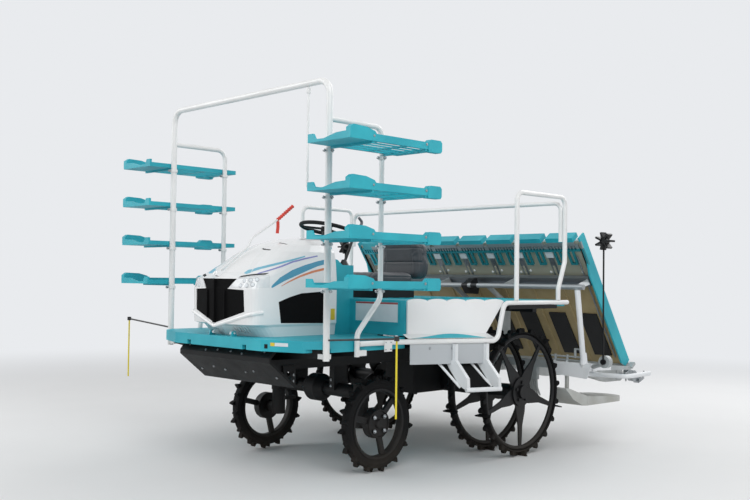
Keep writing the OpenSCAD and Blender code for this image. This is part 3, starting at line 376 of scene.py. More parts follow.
# What each surface is, how it was made and what that gives the eye
FINISHES: dict[Look, Finish] = {
    # epoxy powder on tube: slight orange peel and a soft gloss
    Look.WHITE_COAT: Finish("#e9eaea", "#e1e2e2", 300, 3.0, 0.28, 0.42, 0.06, coat=0.2,
                            dust="#a59a88", dust_top_mm=900),
    # glossy ABS shell
    Look.WHITE_SHELL: Finish("#eeeff0", "#e8e9ea", 400, 1.6, 0.2, 0.3, 0.03, coat=0.5),
    # satin polypropylene, a little faded by the sun
    Look.TEAL: Finish("#2bb0bf", "#239fb0", 260, 1.8, 0.4, 0.55, 0.1),
    # black powder on steel plate, finer than on the white tubes, with dry mud from the field low down
    Look.BLACK_COAT: Finish("#0b0b0d", "#121315", 220, 2.4, 0.4, 0.55, 0.08, specular=0.3,
                            dust="#3b352e", dust_top_mm=420),
    # polypropylene from an eroded mould: a fine grain without gloss
    Look.BLACK_PLASTIC: Finish("#0d0e0f", "#151617", 150, 1.2, 0.5, 0.7, 0.15, specular=0.25),
    # painted perforated sheet over the dark inside, so hardly any light comes back
    Look.BLACK_MESH: Finish("#060607", "#0a0a0b", 100, 1.5, 0.75, 0.9, 0.2, specular=0.1),
    # moulded rubber with dry mud in the low places
    Look.RUBBER: Finish("#0a0a0b", "#121213", 90, 2.2, 0.7, 0.9, 0.3, specular=0.2,
                        dust="#3f3932", dust_top_mm=260),
    # embossed vinyl sheet over foam, with a leather like grain drawn coarse enough to show
    Look.VINYL: Finish("#33363b", "#3c3f44", 120, 2.6, 0.42, 0.6, 0.35, sheen=0.1),
    # clear polycarbonate with a hard coat
    Look.LENS: Finish("#eef1f3", "#e6e9ec", 60, 8.0, 0.08, 0.14, 0.02, transmission=0.1, coat=0.8),
    # bright zinc on turned or drawn steel, dulled in patches
    Look.ZINC: Finish("#b4b8bb", "#8f9497", 40, 6.0, 0.3, 0.48, 0.08, metallic=1.0),
    # sand cast iron under one coat of paint: the sand's grain shows
    Look.CASTING: Finish("#0f1011", "#17181a", 120, 3.5, 0.5, 0.7, 0.3, specular=0.3,
                         dust="#3b352e", dust_top_mm=420),
    # die cast aluminium under grey enamel
    Look.GREY_COAT: Finish("#b9bdbe", "#a7abac", 160, 3.0, 0.35, 0.5, 0.12, dust="#8d8272", dust_top_mm=600),
    # blow moulded polyethylene, satin, with mud dried on it
    Look.FLOAT: Finish("#c3c6c4", "#b2b4b0", 200, 2.5, 0.45, 0.6, 0.1, dust="#8a7d6b", dust_top_mm=500),
    # ribbed rubber belt, dull
    Look.BELT: Finish("#17181a", "#202123", 80, 1.6, 0.55, 0.75, 0.3),
    # soft plastic tape, and injection moulded plastic
    Look.RED: Finish("#dd4a3c", "#c93f33", 60, 2.0, 0.45, 0.6, 0.1),
    Look.YELLOW: Finish("#e0c53a", "#d3b832", 90, 2.0, 0.4, 0.55, 0.1),
    # cast vinyl film, a little faded
    Look.BLUE: Finish("#4f9dbb", "#4893b1", 90, 2.0, 0.25, 0.35, 0.02),
    Look.PALE_BLUE: Finish("#79bcd3", "#6fb2ca", 90, 2.0, 0.25, 0.35, 0.02),
    Look.VIOLET: Finish("#8b8fc6", "#8185bd", 90, 2.0, 0.25, 0.35, 0.02),
    Look.ORANGE: Finish("#dc8a63", "#d2805a", 90, 2.0, 0.25, 0.35, 0.02),
    # printed aluminium plate under clear film, left blank
    Look.PLATE_WHITE: Finish("#dfe4e8", "#d6dce1", 120, 3.0, 0.3, 0.4, 0.03),
    Look.RED_BAND: Finish("#b5544f", "#a94c48", 60, 3.0, 0.35, 0.45, 0.02),
    # metallised plastic ring, grey by what it mirrors
    Look.BEZEL: Finish("#a3a9ae", "#969ca2", 30, 2.0, 0.3, 0.4, 0.02),
    # powder coat, with the panel that hangs under the side tube painted grey as the side tube's shade
    Look.STEP_COAT: Finish("#e6e9ec", "#dde1e4", 300, 3.0, 0.3, 0.44, 0.06, dust="#a59a88", dust_top_mm=700,
                           zones=(
        # painted shade: the panel under the side tube is grey for the tube's shadow
        Zone("#b4b9bd", x=(110, 690), y=(-4, 40), z=(743, 880), rough=0.5, on_flare=True),
    )),
    # moulded caps and combs in teal, the combs under the table painted a darker teal as shade, and the
    # perforated strip between them in bare sheet
    Look.TRIM: Finish("#2bb0bf", "#239fb0", 260, 1.8, 0.4, 0.55, 0.1, zones=(
        Zone("#98a2a6", x=(0, 1206), y=(-1, 62), z=(-21, -0.1), rough=0.4, metallic=0.5, on_table=True),
        # painted shade: the combs are a darker teal for the shade under the table
        Zone("#1b7c86", x=(0, 1206), y=(62, 215), z=(-21, 1), rough=0.5, on_table=True),
    )),
    # rubber sheet with a fine grip
    Look.GRIP: Finish("#08090a", "#0e0f10", 60, 3.0, 0.7, 0.9, 0.4, specular=0.15),
    # hot dipped sheet with a spangle of a few centimetres
    Look.GALVANISED: Finish("#9aa1a6", "#808890", 36, 7.0, 0.32, 0.5, 0.06, metallic=0.85),
    # grey enamel, with white posts and guards, the zinc slide rail and its black bracket
    Look.UNIT_FRAME: Finish("#aeb4b6", "#9da3a5", 160, 3.0, 0.35, 0.5, 0.1, dust="#8d8272", dust_top_mm=560,
                            zones=(
        Zone("#e6e9ec", x=(1036, 1110), z=(640, 1300)),
        Zone("#a3a8ab", z=(1238, 1288), y=(1688, 1736), metallic=0.3),
        Zone("#e9ecef", x=(764, 1160), y=(1786, 1804), z=(540, 680), rough=0.3),
        Zone("#e6e9ec", x=(1079, 1560), z=(560, 634), y=(1780, 2100), rough=0.3),
        Zone("#16171a", x=(17, 83), z=(1180, 1330), y=(1690, 1870), rough=0.5),
        Zone("#8b9298", y=(309, 391), z=(-63, -21), x=(0, 1080), rough=0.38, metallic=0.8, on_table=True),
    )),
    # powder coated bar with a moulded yellow stick at its end
    Look.MARKER_STICK: Finish("#17181a", "#1f2022", 220, 2.4, 0.34, 0.5, 0.08, zones=(
        Zone("#dcc92c", x=(1444, 1466), z=(500, 957), rough=0.45),
    )),
    # tan painted sheet below; grey sheet near its upper edge; pale moulded lanes on the seedlings' side
    Look.TABLE_BOARD: Finish("#b3a27a", "#a5946c", 150, 5.0, 0.4, 0.55, 0.1, zones=(
        Zone("#a8a695", y=(-5, 330), z=(-12, 1), rough=0.45, on_table=True),
        Zone("#c6cbcb", y=(-5, 1215), z=(1, 60), rough=0.42, on_table=True),
    )),
    # moulded column cover with a grey instrument face
    Look.COLUMN: Finish("#141517", "#1c1d1f", 150, 1.4, 0.4, 0.55, 0.15, zones=(
        Zone("#5c5d63", x=(215, 275), z=(1660, 1770), rough=0.45),
    )),
}


class Paintbox:
    """Makes each finish once and hands it out."""

    def __init__(self) -> None:
        """Start empty."""
        self.made: dict[Look, bpy.types.Material] = {}

    def get(self, look: Look) -> bpy.types.Material:
        """Return the material of a look, made on first use."""
        if look not in self.made:
            self.made[look] = FINISHES[look].material(look.value.replace(" ", "_"))
        return self.made[look]

    def dress(self, obj: bpy.types.Object, look: Look) -> None:
        """Give an object one finish on all its faces."""
        obj.data.materials.clear()
        obj.data.materials.append(self.get(look))


def new_piece(name: str, points: np.ndarray, faces: list, smooth: bool = True) -> bpy.types.Object:
    """Put vertices and faces into a new object at the origin.

    Args:
        name: The piece's plain name.
        points: Array of n by 3 places in metres.
        faces: Rows of vertex numbers.
        smooth: Whether the faces shade smooth, with sharp edges kept by angle.

    Returns:
        The new object, linked to the scene.
    """
    mesh = bpy.data.meshes.new(name)
    mesh.from_pydata(np.asarray(points, float).tolist(), [], faces)
    mesh.validate()
    mesh.update()
    obj = bpy.data.objects.new(name, mesh)
    bpy.context.scene.collection.objects.link(obj)
    if smooth:
        mesh.polygons.foreach_set("use_smooth", np.ones(len(mesh.polygons), bool))
        mesh.set_sharp_from_angle(angle=math.radians(SHARP_DEG))
    return obj


def grid_faces(rows: int, cols: int, wrap_rows: bool = False, wrap_cols: bool = False) -> np.ndarray:
    """Number the quads of a grid of points, row by row.

    Args:
        rows: Points along the first parameter.
        cols: Points along the second.
        wrap_rows: Whether the last row joins the first.
        wrap_cols: Whether the last column joins the first.

    Returns:
        Array of quads.
    """
    r = np.arange(rows if wrap_rows else rows - 1)
    c = np.arange(cols if wrap_cols else cols - 1)
    rr, cc = np.meshgrid(r, c, indexing="ij")
    nr, nc = (rr + 1) % rows, (cc + 1) % cols
    return np.stack([rr * cols + cc, nr * cols + cc, nr * cols + nc, rr * cols + nc], -1).reshape(-1, 4)


def slab(outer: np.ndarray, inner: np.ndarray) -> tuple[np.ndarray, list]:
    """Close two grids of points into one sheet with a thickness.

    Both grids are functions of the same two parameters; the rims of the two are joined by a strip of quads.

    Args:
        outer: Rows by columns by 3 places, seen from outside with rows down and columns to the right.
        inner: The same grid, one thickness deeper.

    Returns:
        The vertices and the faces.
    """
    rows, cols = outer.shape[:2]
    count = rows * cols
    top = grid_faces(rows, cols)
    bottom = top[:, ::-1] + count
    index = np.arange(count).reshape(rows, cols)
    rim = np.concatenate([index[0, :-1], index[:-1, -1], index[-1, :0:-1], index[:0:-1, 0]])
    after = np.roll(rim, -1)
    wall = np.stack([rim, after, after + count, rim + count], -1)
    points = np.concatenate([outer.reshape(-1, 3), inner.reshape(-1, 3)])
    return points, np.concatenate([top, bottom, wall]).tolist()


def turned(profile: np.ndarray, centre: np.ndarray, along: tuple | np.ndarray,
           sides: int) -> tuple[np.ndarray, list]:
    """Turn a profile about an axis, with flat ends.

    A point is centre + height * axis + radius * (cos t, sin t) in the plane across the axis.

    Args:
        profile: Rows of radius and height.
        centre: Where height 0 lies.
        along: The axis, of any length.
        sides: Points around; 6 gives a hexagon head.

    Returns:
        The vertices and the faces.
    """
    axis = np.asarray(along, float) / np.linalg.norm(along)
    helper = np.array([0.0, 0.0, 1.0]) if abs(axis[2]) < 0.9 else np.array([0.0, 1.0, 0.0])
    first = np.cross(helper, axis)
    first = first / np.linalg.norm(first)
    second = np.cross(axis, first)
    angle = np.linspace(0, 2 * np.pi, sides, endpoint=False)
    ring = np.cos(angle)[:, None] * first + np.sin(angle)[:, None] * second
    profile = np.asarray(profile, float)
    points = np.asarray(centre) + profile[:, 1, None, None] * axis + profile[:, 0, None, None] * ring[None]
    faces = grid_faces(len(profile), sides, wrap_cols=True)[:, ::-1].tolist()
    faces.append(list(range(sides))[::-1])
    faces.append([(len(profile) - 1) * sides + k for k in range(sides)])
    return points.reshape(-1, 3), faces


def swept(path: np.ndarray, radius: float | np.ndarray, sides: int = 10) -> tuple[np.ndarray, list]:
    """Carry a circle along a path that lies in a plane across X.

    The circle's two axes at a point are X and the cross product of the path's direction with it.

    Args:
        path: Rows of places.
        radius: One radius, or one per place.
        sides: Points around.

    Returns:
        The vertices and the faces.
    """
    path = np.asarray(path, float)
    ahead = np.gradient(path, axis=0)
    ahead = ahead / np.linalg.norm(ahead, axis=1, keepdims=True)
    first = np.broadcast_to(np.array([1.0, 0.0, 0.0]), path.shape)
    second = np.cross(ahead, first)
    angle = np.linspace(0, 2 * np.pi, sides, endpoint=False)
    width = np.broadcast_to(np.asarray(radius, float), (len(path),))[:, None, None]
    ring = np.cos(angle)[None, :, None] * first[:, None] + np.sin(angle)[None, :, None] * second[:, None]
    points = path[:, None] + width * ring
    faces = grid_faces(len(path), sides, wrap_cols=True).tolist()
    faces.append(list(range(sides)))
    faces.append([(len(path) - 1) * sides + k for k in range(sides)][::-1])
    return points.reshape(-1, 3), faces


def facing_out(form: tuple) -> tuple[np.ndarray, list]:
    """Turn a closed form's faces round if they look inwards.

    The volume inside is the sum over the faces' triangles of a . (b x c) / 6, which is below 0 where they do.

    Args:
        form: The vertices and the faces.

    Returns:
        The same form with its faces outwards.
    """
    points, faces = form
    rows = np.array([(face[0], face[k], face[k + 1]) for face in faces for k in range(1, len(face) - 1)])
    a, b, c = (points[rows[:, k]] for k in range(3))
    volume = float((a * np.cross(b, c)).sum()) / 6
    return points, ([face[::-1] for face in faces] if volume < 0 else faces)


def merged(forms: list[tuple]) -> tuple[np.ndarray, list]:
    """Put several closed forms into one list of vertices and one of faces, which all look outwards.

    Args:
        forms: The vertices and the faces of each.

    Returns:
        The vertices and the faces of all.
    """
    forms = [facing_out(form) for form in forms]
    starts = np.cumsum([0] + [len(points) for points, _ in forms])
    faces = [[number + start for number in face] for (_, rows), start in zip(forms, starts) for face in rows]
    return np.concatenate([points for points, _ in forms]), faces


def resampled(line: tuple, count: int) -> np.ndarray:
    """Spread points evenly along a line of corners, by its length.

    Args:
        line: The corners.
        count: How many points.

    Returns:
        Rows of places.
    """
    corners = np.asarray(line, float)
    reach = np.concatenate([[0.0], np.cumsum(np.linalg.norm(np.diff(corners, axis=0), axis=1))])
    wanted = np.linspace(0.0, reach[-1], count)
    return np.stack([np.interp(wanted, reach, corners[:, k]) for k in range(corners.shape[1])], -1)


@dataclass
class Skin:
    """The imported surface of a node, on which thin pieces are laid."""

    corners: np.ndarray

    @classmethod
    def of(cls, obj: bpy.types.Object) -> "Skin":
        """Read the triangles of a CAD node, whose mesh stays as it is.

        Args:
            obj: The node's object.

        Returns:
            Its skin.
        """
        mesh = obj.data
        mesh.calc_loop_triangles()
        places = np.empty(len(mesh.vertices) * 3)
        mesh.vertices.foreach_get("co", places)
        rows = np.empty(len(mesh.loop_triangles) * 3, dtype=np.int32)
        mesh.loop_triangles.foreach_get("vertices", rows)
        return cls(places.reshape(-1, 3)[rows.reshape(-1, 3)])

    def hit(self, flat: np.ndarray, axis: int, sign: int) -> np.ndarray:
        """Send straight rays along an axis and keep the outermost hit of each.

        A ray meets a triangle where its three area coordinates in the plane across the axis are all positive;
        the place along the axis is their weighted mean.

        Args:
            flat: n by 2 places in metres on the other two axes.
            axis: 0, 1 or 2.
            sign: 1 for the side towards plus, -1 for the other.

        Returns:
            The n coordinates along the axis; a ray that misses takes the mean of those that hit.
        """
        others = [k for k in range(3) if k != axis]
        a, b, c = (self.corners[:, k][:, others] for k in range(3))
        depth = self.corners[:, :, axis]
        span = (b[:, 0] - a[:, 0]) * (c[:, 1] - a[:, 1]) - (c[:, 0] - a[:, 0]) * (b[:, 1] - a[:, 1])
        wide = np.abs(span) > 1e-12
        a, b, c, depth, span = a[wide], b[wide], c[wide], depth[wide], span[wide]
        px, py = flat[:, 0, None], flat[:, 1, None]
        v = ((px - a[:, 0]) * (c[:, 1] - a[:, 1]) - (c[:, 0] - a[:, 0]) * (py - a[:, 1])) / span
        w = ((b[:, 0] - a[:, 0]) * (py - a[:, 1]) - (px - a[:, 0]) * (b[:, 1] - a[:, 1])) / span
        inside = (v > -1e-6) & (w > -1e-6) & (v + w < 1 + 1e-6)
        along = depth[:, 0] * (1 - v - w) + depth[:, 1] * v + depth[:, 2] * w
        best = np.where(inside, along * sign, -np.inf).max(axis=1)
        missed = ~np.isfinite(best)
        if missed.all():
            raise ValueError("no ray meets the node")
        best[missed] = best[~missed].mean()
        return best * sign

    def laid(self, flat: np.ndarray, axis: int, sign: int, lift: float) -> np.ndarray:
        """Lay a grid of places on the surface, lift metres proud of it along the axis.

        Args:
            flat: Rows by columns by 2 places in metres on the other two axes.
            axis: The axis the rays follow.
            sign: The side they come from.
            lift: How far the grid lies off the surface.

        Returns:
            Rows by columns by 3 places.
        """
        found = self.hit(flat.reshape(-1, 2), axis, sign).reshape(flat.shape[:2]) + sign * lift
        others = [k for k in range(3) if k != axis]
        out = np.empty(flat.shape[:2] + (3,))
        out[..., axis], out[..., others[0]], out[..., others[1]] = found, flat[..., 0], flat[..., 1]
        return out


def fitted(name: str, forms: list[tuple], look: Look, body: str, paint: Paintbox,
           smooth: bool = True) -> bpy.types.Object:
    """Put closed forms into one piece, dress it, let it ride on a body and report it.

    Args:
        name: The piece's name.
        forms: The vertices and faces of each form.
        look: Its finish.
        body: The body it moves with.
        paint: The finishes.
        smooth: Whether its faces shade smooth.

    Returns:
        The piece.
    """
    piece = new_piece(name, *merged(forms), smooth)
    paint.dress(piece, look)
    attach(piece, body)
    LOG.info("%s: %d forms, %d faces", name, len(forms), len(piece.data.polygons))
    return piece


def film(skin: Skin, upper: tuple, lower: tuple, axis: int, sign: int, cols: int, rows: int) -> tuple:
    """Lay a thin film between two lines on a node's surface.

    A point of the film is the mean of the points of the two lines at the same share of their length, weighted
    by its row. The outer side is FILM_PROUD off the surface and the inner side FILM_CLOSE.

    Args:
        skin: The surface.
        upper: The upper line's corners, in millimetres from the front axle on the two axes across the rays.
        lower: The lower line's corners.
        axis: The axis the rays follow.
        sign: The side they come from.
        cols: Points along.
        rows: Points across.

    Returns:
        The vertices and the faces.
    """
    shift = np.array([AXLE_Y if k == 1 else 0.0 for k in range(3) if k != axis])
    top, low = resampled(upper, cols) * MM + shift, resampled(lower, cols) * MM + shift
    share = np.linspace(0.0, 1.0, rows)[:, None, None]
    flat = top[None] * (1 - share) + low[None] * share
    return slab(skin.laid(flat, axis, sign, FILM_PROUD), skin.laid(flat, axis, sign, FILM_CLOSE))


def panel(corners: tuple, thick: float, curl: float = 0.0, rows: int = 12, cols: int = 8) -> tuple:
    """Stretch a flat sheet between four corners, with its long sides curled up a little.

    A point is the two-way mean of the four corners plus curl * (2u - 1)^8 along the sheet's normal.

    Args:
        corners: Four places in millimetres from the front axle, in order round the sheet.
        thick: Its thickness in metres.
        curl: How far the sides stand up, in metres.
        rows: Points one way.
        cols: Points the other way.

    Returns:
        The vertices and the faces.
    """
    p = placed(np.array(corners))
    u, v = np.linspace(0, 1, cols)[None, :, None], np.linspace(0, 1, rows)[:, None, None]
    flat = p[0] * (1 - u) * (1 - v) + p[1] * u * (1 - v) + p[2] * u * v + p[3] * (1 - u) * v
    normal = np.cross(p[1] - p[0], p[3] - p[0])
    normal = normal / np.linalg.norm(normal)
    face = flat + normal * curl * (2 * u - 1) ** 8
    return slab(face, face - normal * thick)


def standing(right: np.ndarray, up: np.ndarray, back: np.ndarray, place: tuple) -> Matrix:
    """Build the matrix of an object from its three axes and its place."""
    matrix = np.eye(4)
    matrix[:3] = np.stack([right, up, back, place], -1)
    return Matrix(matrix.tolist())


@dataclass
class Studio:
    """The floor, the lamps and the camera that stands where the photographer stood, in metres and degrees."""

    camera_place: tuple[float, float, float] = (5.126, -5.43194, 1.309)
    yaw_deg: float = -45.25
    pitch_deg: float = 1.74
    roll_deg: float = 0.73
    focal_px: float = 937.2
    frame_px: float = 750.0
    sensor_mm: float = 36.0
    fill_colour: str = "#e4e4e3"
    fill_strength: float = 0.52
    view_colour: str = "#e9ebee"
    floor_colour: str = "#e9eaeb"
    floor_worn: str = "#e4e5e6"
    floor_rough: float = 0.75
    floor_radius: float = 60.0
    floor_points: int = 96
    patches_per_metre: float = 1.4
    floor_fade: tuple[float, float] = (4.0, 11.0)
    # place, aim, size and power in watts of each lamp
    lamps: tuple = (
        ((6.5, -5.0, 6.5), (0.0, -0.3, 1.0), 6.0, 430.0),
        ((-5.5, -6.0, 5.0), (0.0, -0.3, 1.0), 5.0, 225.0),
        ((1.0, 6.5, 6.0), (0.0, 0.0, 1.0), 6.0, 300.0),
    )

    def build(self) -> None:
        """Make the whole studio."""
        self.set_camera()
        self.set_world()
        self.lay_floor()
        for number, lamp in enumerate(self.lamps):
            self.hang_lamp(number, *lamp)
        bpy.context.scene.view_settings.view_transform = "Standard"
        LOG.info("built the studio with %d lamps", len(self.lamps))

    def set_camera(self) -> None:
        """Stand the camera at the photograph's place.

        Its axes are right, up and back. Ahead is (cos p sin y, cos p cos y, sin p) for yaw y and pitch p, and
        the roll turns right and up about it.
        """
        yaw, pitch, roll = (math.radians(v) for v in (self.yaw_deg, self.pitch_deg, self.roll_deg))
        ahead = np.array([math.cos(pitch) * math.sin(yaw), math.cos(pitch) * math.cos(yaw), math.sin(pitch)])
        level = np.array([math.cos(yaw), -math.sin(yaw), 0.0])
        above = np.cross(level, ahead)
        right = math.cos(roll) * level + math.sin(roll) * above
        up = -math.sin(roll) * level + math.cos(roll) * above
        camera = bpy.data.objects.new("camera", bpy.data.cameras.new("camera"))
        camera.data.sensor_width = self.sensor_mm
        camera.data.lens = self.sensor_mm * self.focal_px / self.frame_px
        camera.matrix_world = standing(right, up, -ahead, self.camera_place)
        bpy.context.scene.collection.objects.link(camera)
        bpy.context.scene.camera = camera

    def set_world(self) -> None:
        """Light from all round, with a pale view behind the machine for the camera, gloss and glass."""
        world = bpy.data.worlds.new("studio")
        world.use_nodes = True
        tree = world.node_tree
        tree.nodes.clear()
        path = add_node(tree, "ShaderNodeLightPath")
        seen = path.outputs["Is Camera Ray"]
        for kind in ("Is Glossy Ray", "Is Transmission Ray"):
            both = add_node(tree, "ShaderNodeMath", {0: seen, 1: path.outputs[kind]}, operation="MAXIMUM")
            seen = both.outputs[0]
        fill = add_node(tree, "ShaderNodeBackground",
                        {"Color": linear(self.fill_colour), "Strength": self.fill_strength})
        view = add_node(tree, "ShaderNodeBackground", {"Color": linear(self.view_colour), "Strength": 1.0})
        mixed = add_node(tree, "ShaderNodeMixShader", {0: seen, 1: fill.outputs[0], 2: view.outputs[0]})
        add_node(tree, "ShaderNodeOutputWorld", {"Surface": mixed.outputs[0]})
        bpy.context.scene.world = world

    def lay_floor(self) -> None:
        """Lay a pale matt floor, one flat disc that fades into the view's colour for the camera."""
        turn = np.linspace(0, 2 * np.pi, self.floor_points, endpoint=False)
        rim = self.floor_radius * np.stack([np.cos(turn), np.sin(turn), np.zeros_like(turn)], -1)
        floor = new_piece("floor", rim, [list(range(self.floor_points))], smooth=False)
        mat = bpy.data.materials.new("pale_matt_floor")
        mat.use_nodes = True
        tree = mat.node_tree
        tree.nodes.clear()
        place = add_node(tree, "ShaderNodeTexCoord").outputs["Object"]
        noise = add_node(tree, "ShaderNodeTexNoise",
                         {"Vector": place, "Scale": self.patches_per_metre, "Detail": 5.0})
        tone = add_node(tree, "ShaderNodeMix", data_type="RGBA", inputs={
            0: noise.outputs[0], 6: linear(self.floor_colour), 7: linear(self.floor_worn)})
        shader = add_node(tree, "ShaderNodeBsdfPrincipled",
                          {"Base Color": tone.outputs[2], "Roughness": self.floor_rough})
        reach = add_node(tree, "ShaderNodeVectorMath", {0: place}, operation="LENGTH")
        far = add_node(tree, "ShaderNodeMapRange", interpolation_type="SMOOTHSTEP", inputs={
            0: reach.outputs["Value"], 1: self.floor_fade[0], 2: self.floor_fade[1]})
        view = add_node(tree, "ShaderNodeEmission", {"Color": linear(self.view_colour), "Strength": 1.0})
        path = add_node(tree, "ShaderNodeLightPath")
        shown = add_node(tree, "ShaderNodeMath", {0: far.outputs[0], 1: path.outputs["Is Camera Ray"]},
                         operation="MULTIPLY")
        both = add_node(tree, "ShaderNodeMixShader",
                        {0: shown.outputs[0], 1: shader.outputs[0], 2: view.outputs[0]})
        add_node(tree, "ShaderNodeOutputMaterial", {"Surface": both.outputs[0]})
        floor.data.materials.append(mat)

    def hang_lamp(self, number: int, place: tuple, aim: tuple, size: float, power: float) -> None:
        """Hang one large soft lamp.

        Args:
            number: Its number, for the name.
            place: Where it hangs.
            aim: The point it faces.
            size: Its side.
            power: Its power in watts.
        """
        lamp = bpy.data.lights.new(f"softbox_{number}", "AREA")
        lamp.size, lamp.energy = size, power
        obj = bpy.data.objects.new(lamp.name, lamp)
        back = np.array(place) - np.array(aim)
        back = back / np.linalg.norm(back)
        right = np.cross([0.0, 0.0, 1.0], back)
        right = right / np.linalg.norm(right)
        obj.matrix_world = standing(right, np.cross(back, right), back, place)
        bpy.context.scene.collection.objects.link(obj)


@dataclass
class CadDress:
    """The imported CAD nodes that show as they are, each with its finish."""

    looks: dict = field(default_factory=lambda: {
        "main_frame": Look.BLACK_COAT, "engine_block": Look.CASTING, "axle_cases": Look.CASTING,
        "lower_guard": Look.BLACK_PLASTIC, "front_deck": Look.TEAL, "rear_deck": Look.TEAL,
        "side_panels": Look.WHITE_SHELL, "side_tubes": Look.WHITE_COAT, "console": Look.TEAL,
        "steering_column": Look.COLUMN, "seat_cushion": Look.VINYL, "seat_back": Look.VINYL,
        "seat_pan": Look.BLACK_COAT, "rack_frame": Look.WHITE_COAT, "shelves": Look.TEAL,
        "safety_rails": Look.WHITE_COAT, "steps": Look.STEP_COAT, "side_markers": Look.MARKER_STICK,
        "board_hanger": Look.WHITE_COAT, "hood_shell": Look.WHITE_SHELL, "hood_grille": Look.BLACK_MESH,
        "headlamps": Look.LENS, "side_screens": Look.BLACK_MESH, "centre_pole": Look.WHITE_COAT,
        "steering_wheel": Look.BLACK_PLASTIC, "knuckle_left": Look.CASTING, "knuckle_right": Look.CASTING,
        "front_rim_left": Look.BLACK_COAT, "front_rim_right": Look.BLACK_COAT,
        "front_tyre_left": Look.RUBBER, "front_tyre_right": Look.RUBBER,
        "rear_rims_left": Look.BLACK_COAT, "rear_rims_right": Look.BLACK_COAT,
        "rear_tyres_left": Look.RUBBER, "rear_tyres_right": Look.RUBBER,
        "lower_links": Look.BLACK_COAT, "upper_link": Look.BLACK_COAT, "lift_barrel": Look.BLACK_COAT,
        "lift_rod": Look.ZINC, "planter_frame": Look.UNIT_FRAME, "drive_cases": Look.GREY_COAT,
        "floats": Look.FLOAT, "seedling_table": Look.TABLE_BOARD, "table_trim": Look.TRIM,
        "table_belts": Look.BELT, "planting_heads": Look.ZINC,
        "line_marker_left": Look.BLACK_COAT, "line_marker_right": Look.BLACK_COAT,
    })

    def build(self, frame: dict, paint: Paintbox) -> None:
        """Dress every node.

        Args:
            paint: The finishes.
        """
        for name, obj in frame["nodes"].items():
            paint.dress(obj, self.looks[name])
            LOG.info("%s: %s", name, self.looks[name].value)


def signed_power(values: np.ndarray, exponent: float) -> np.ndarray:
    """Raise the size of each value to a power and keep its sign."""
    return np.sign(values) * np.abs(values) ** exponent


def channel(offset: np.ndarray, width: float) -> np.ndarray:
    """Give a sewn channel's section, exp(-(offset / width)^2): 1 on its line, near 0 two widths away."""
    return np.exp(-(offset / width) ** 2)


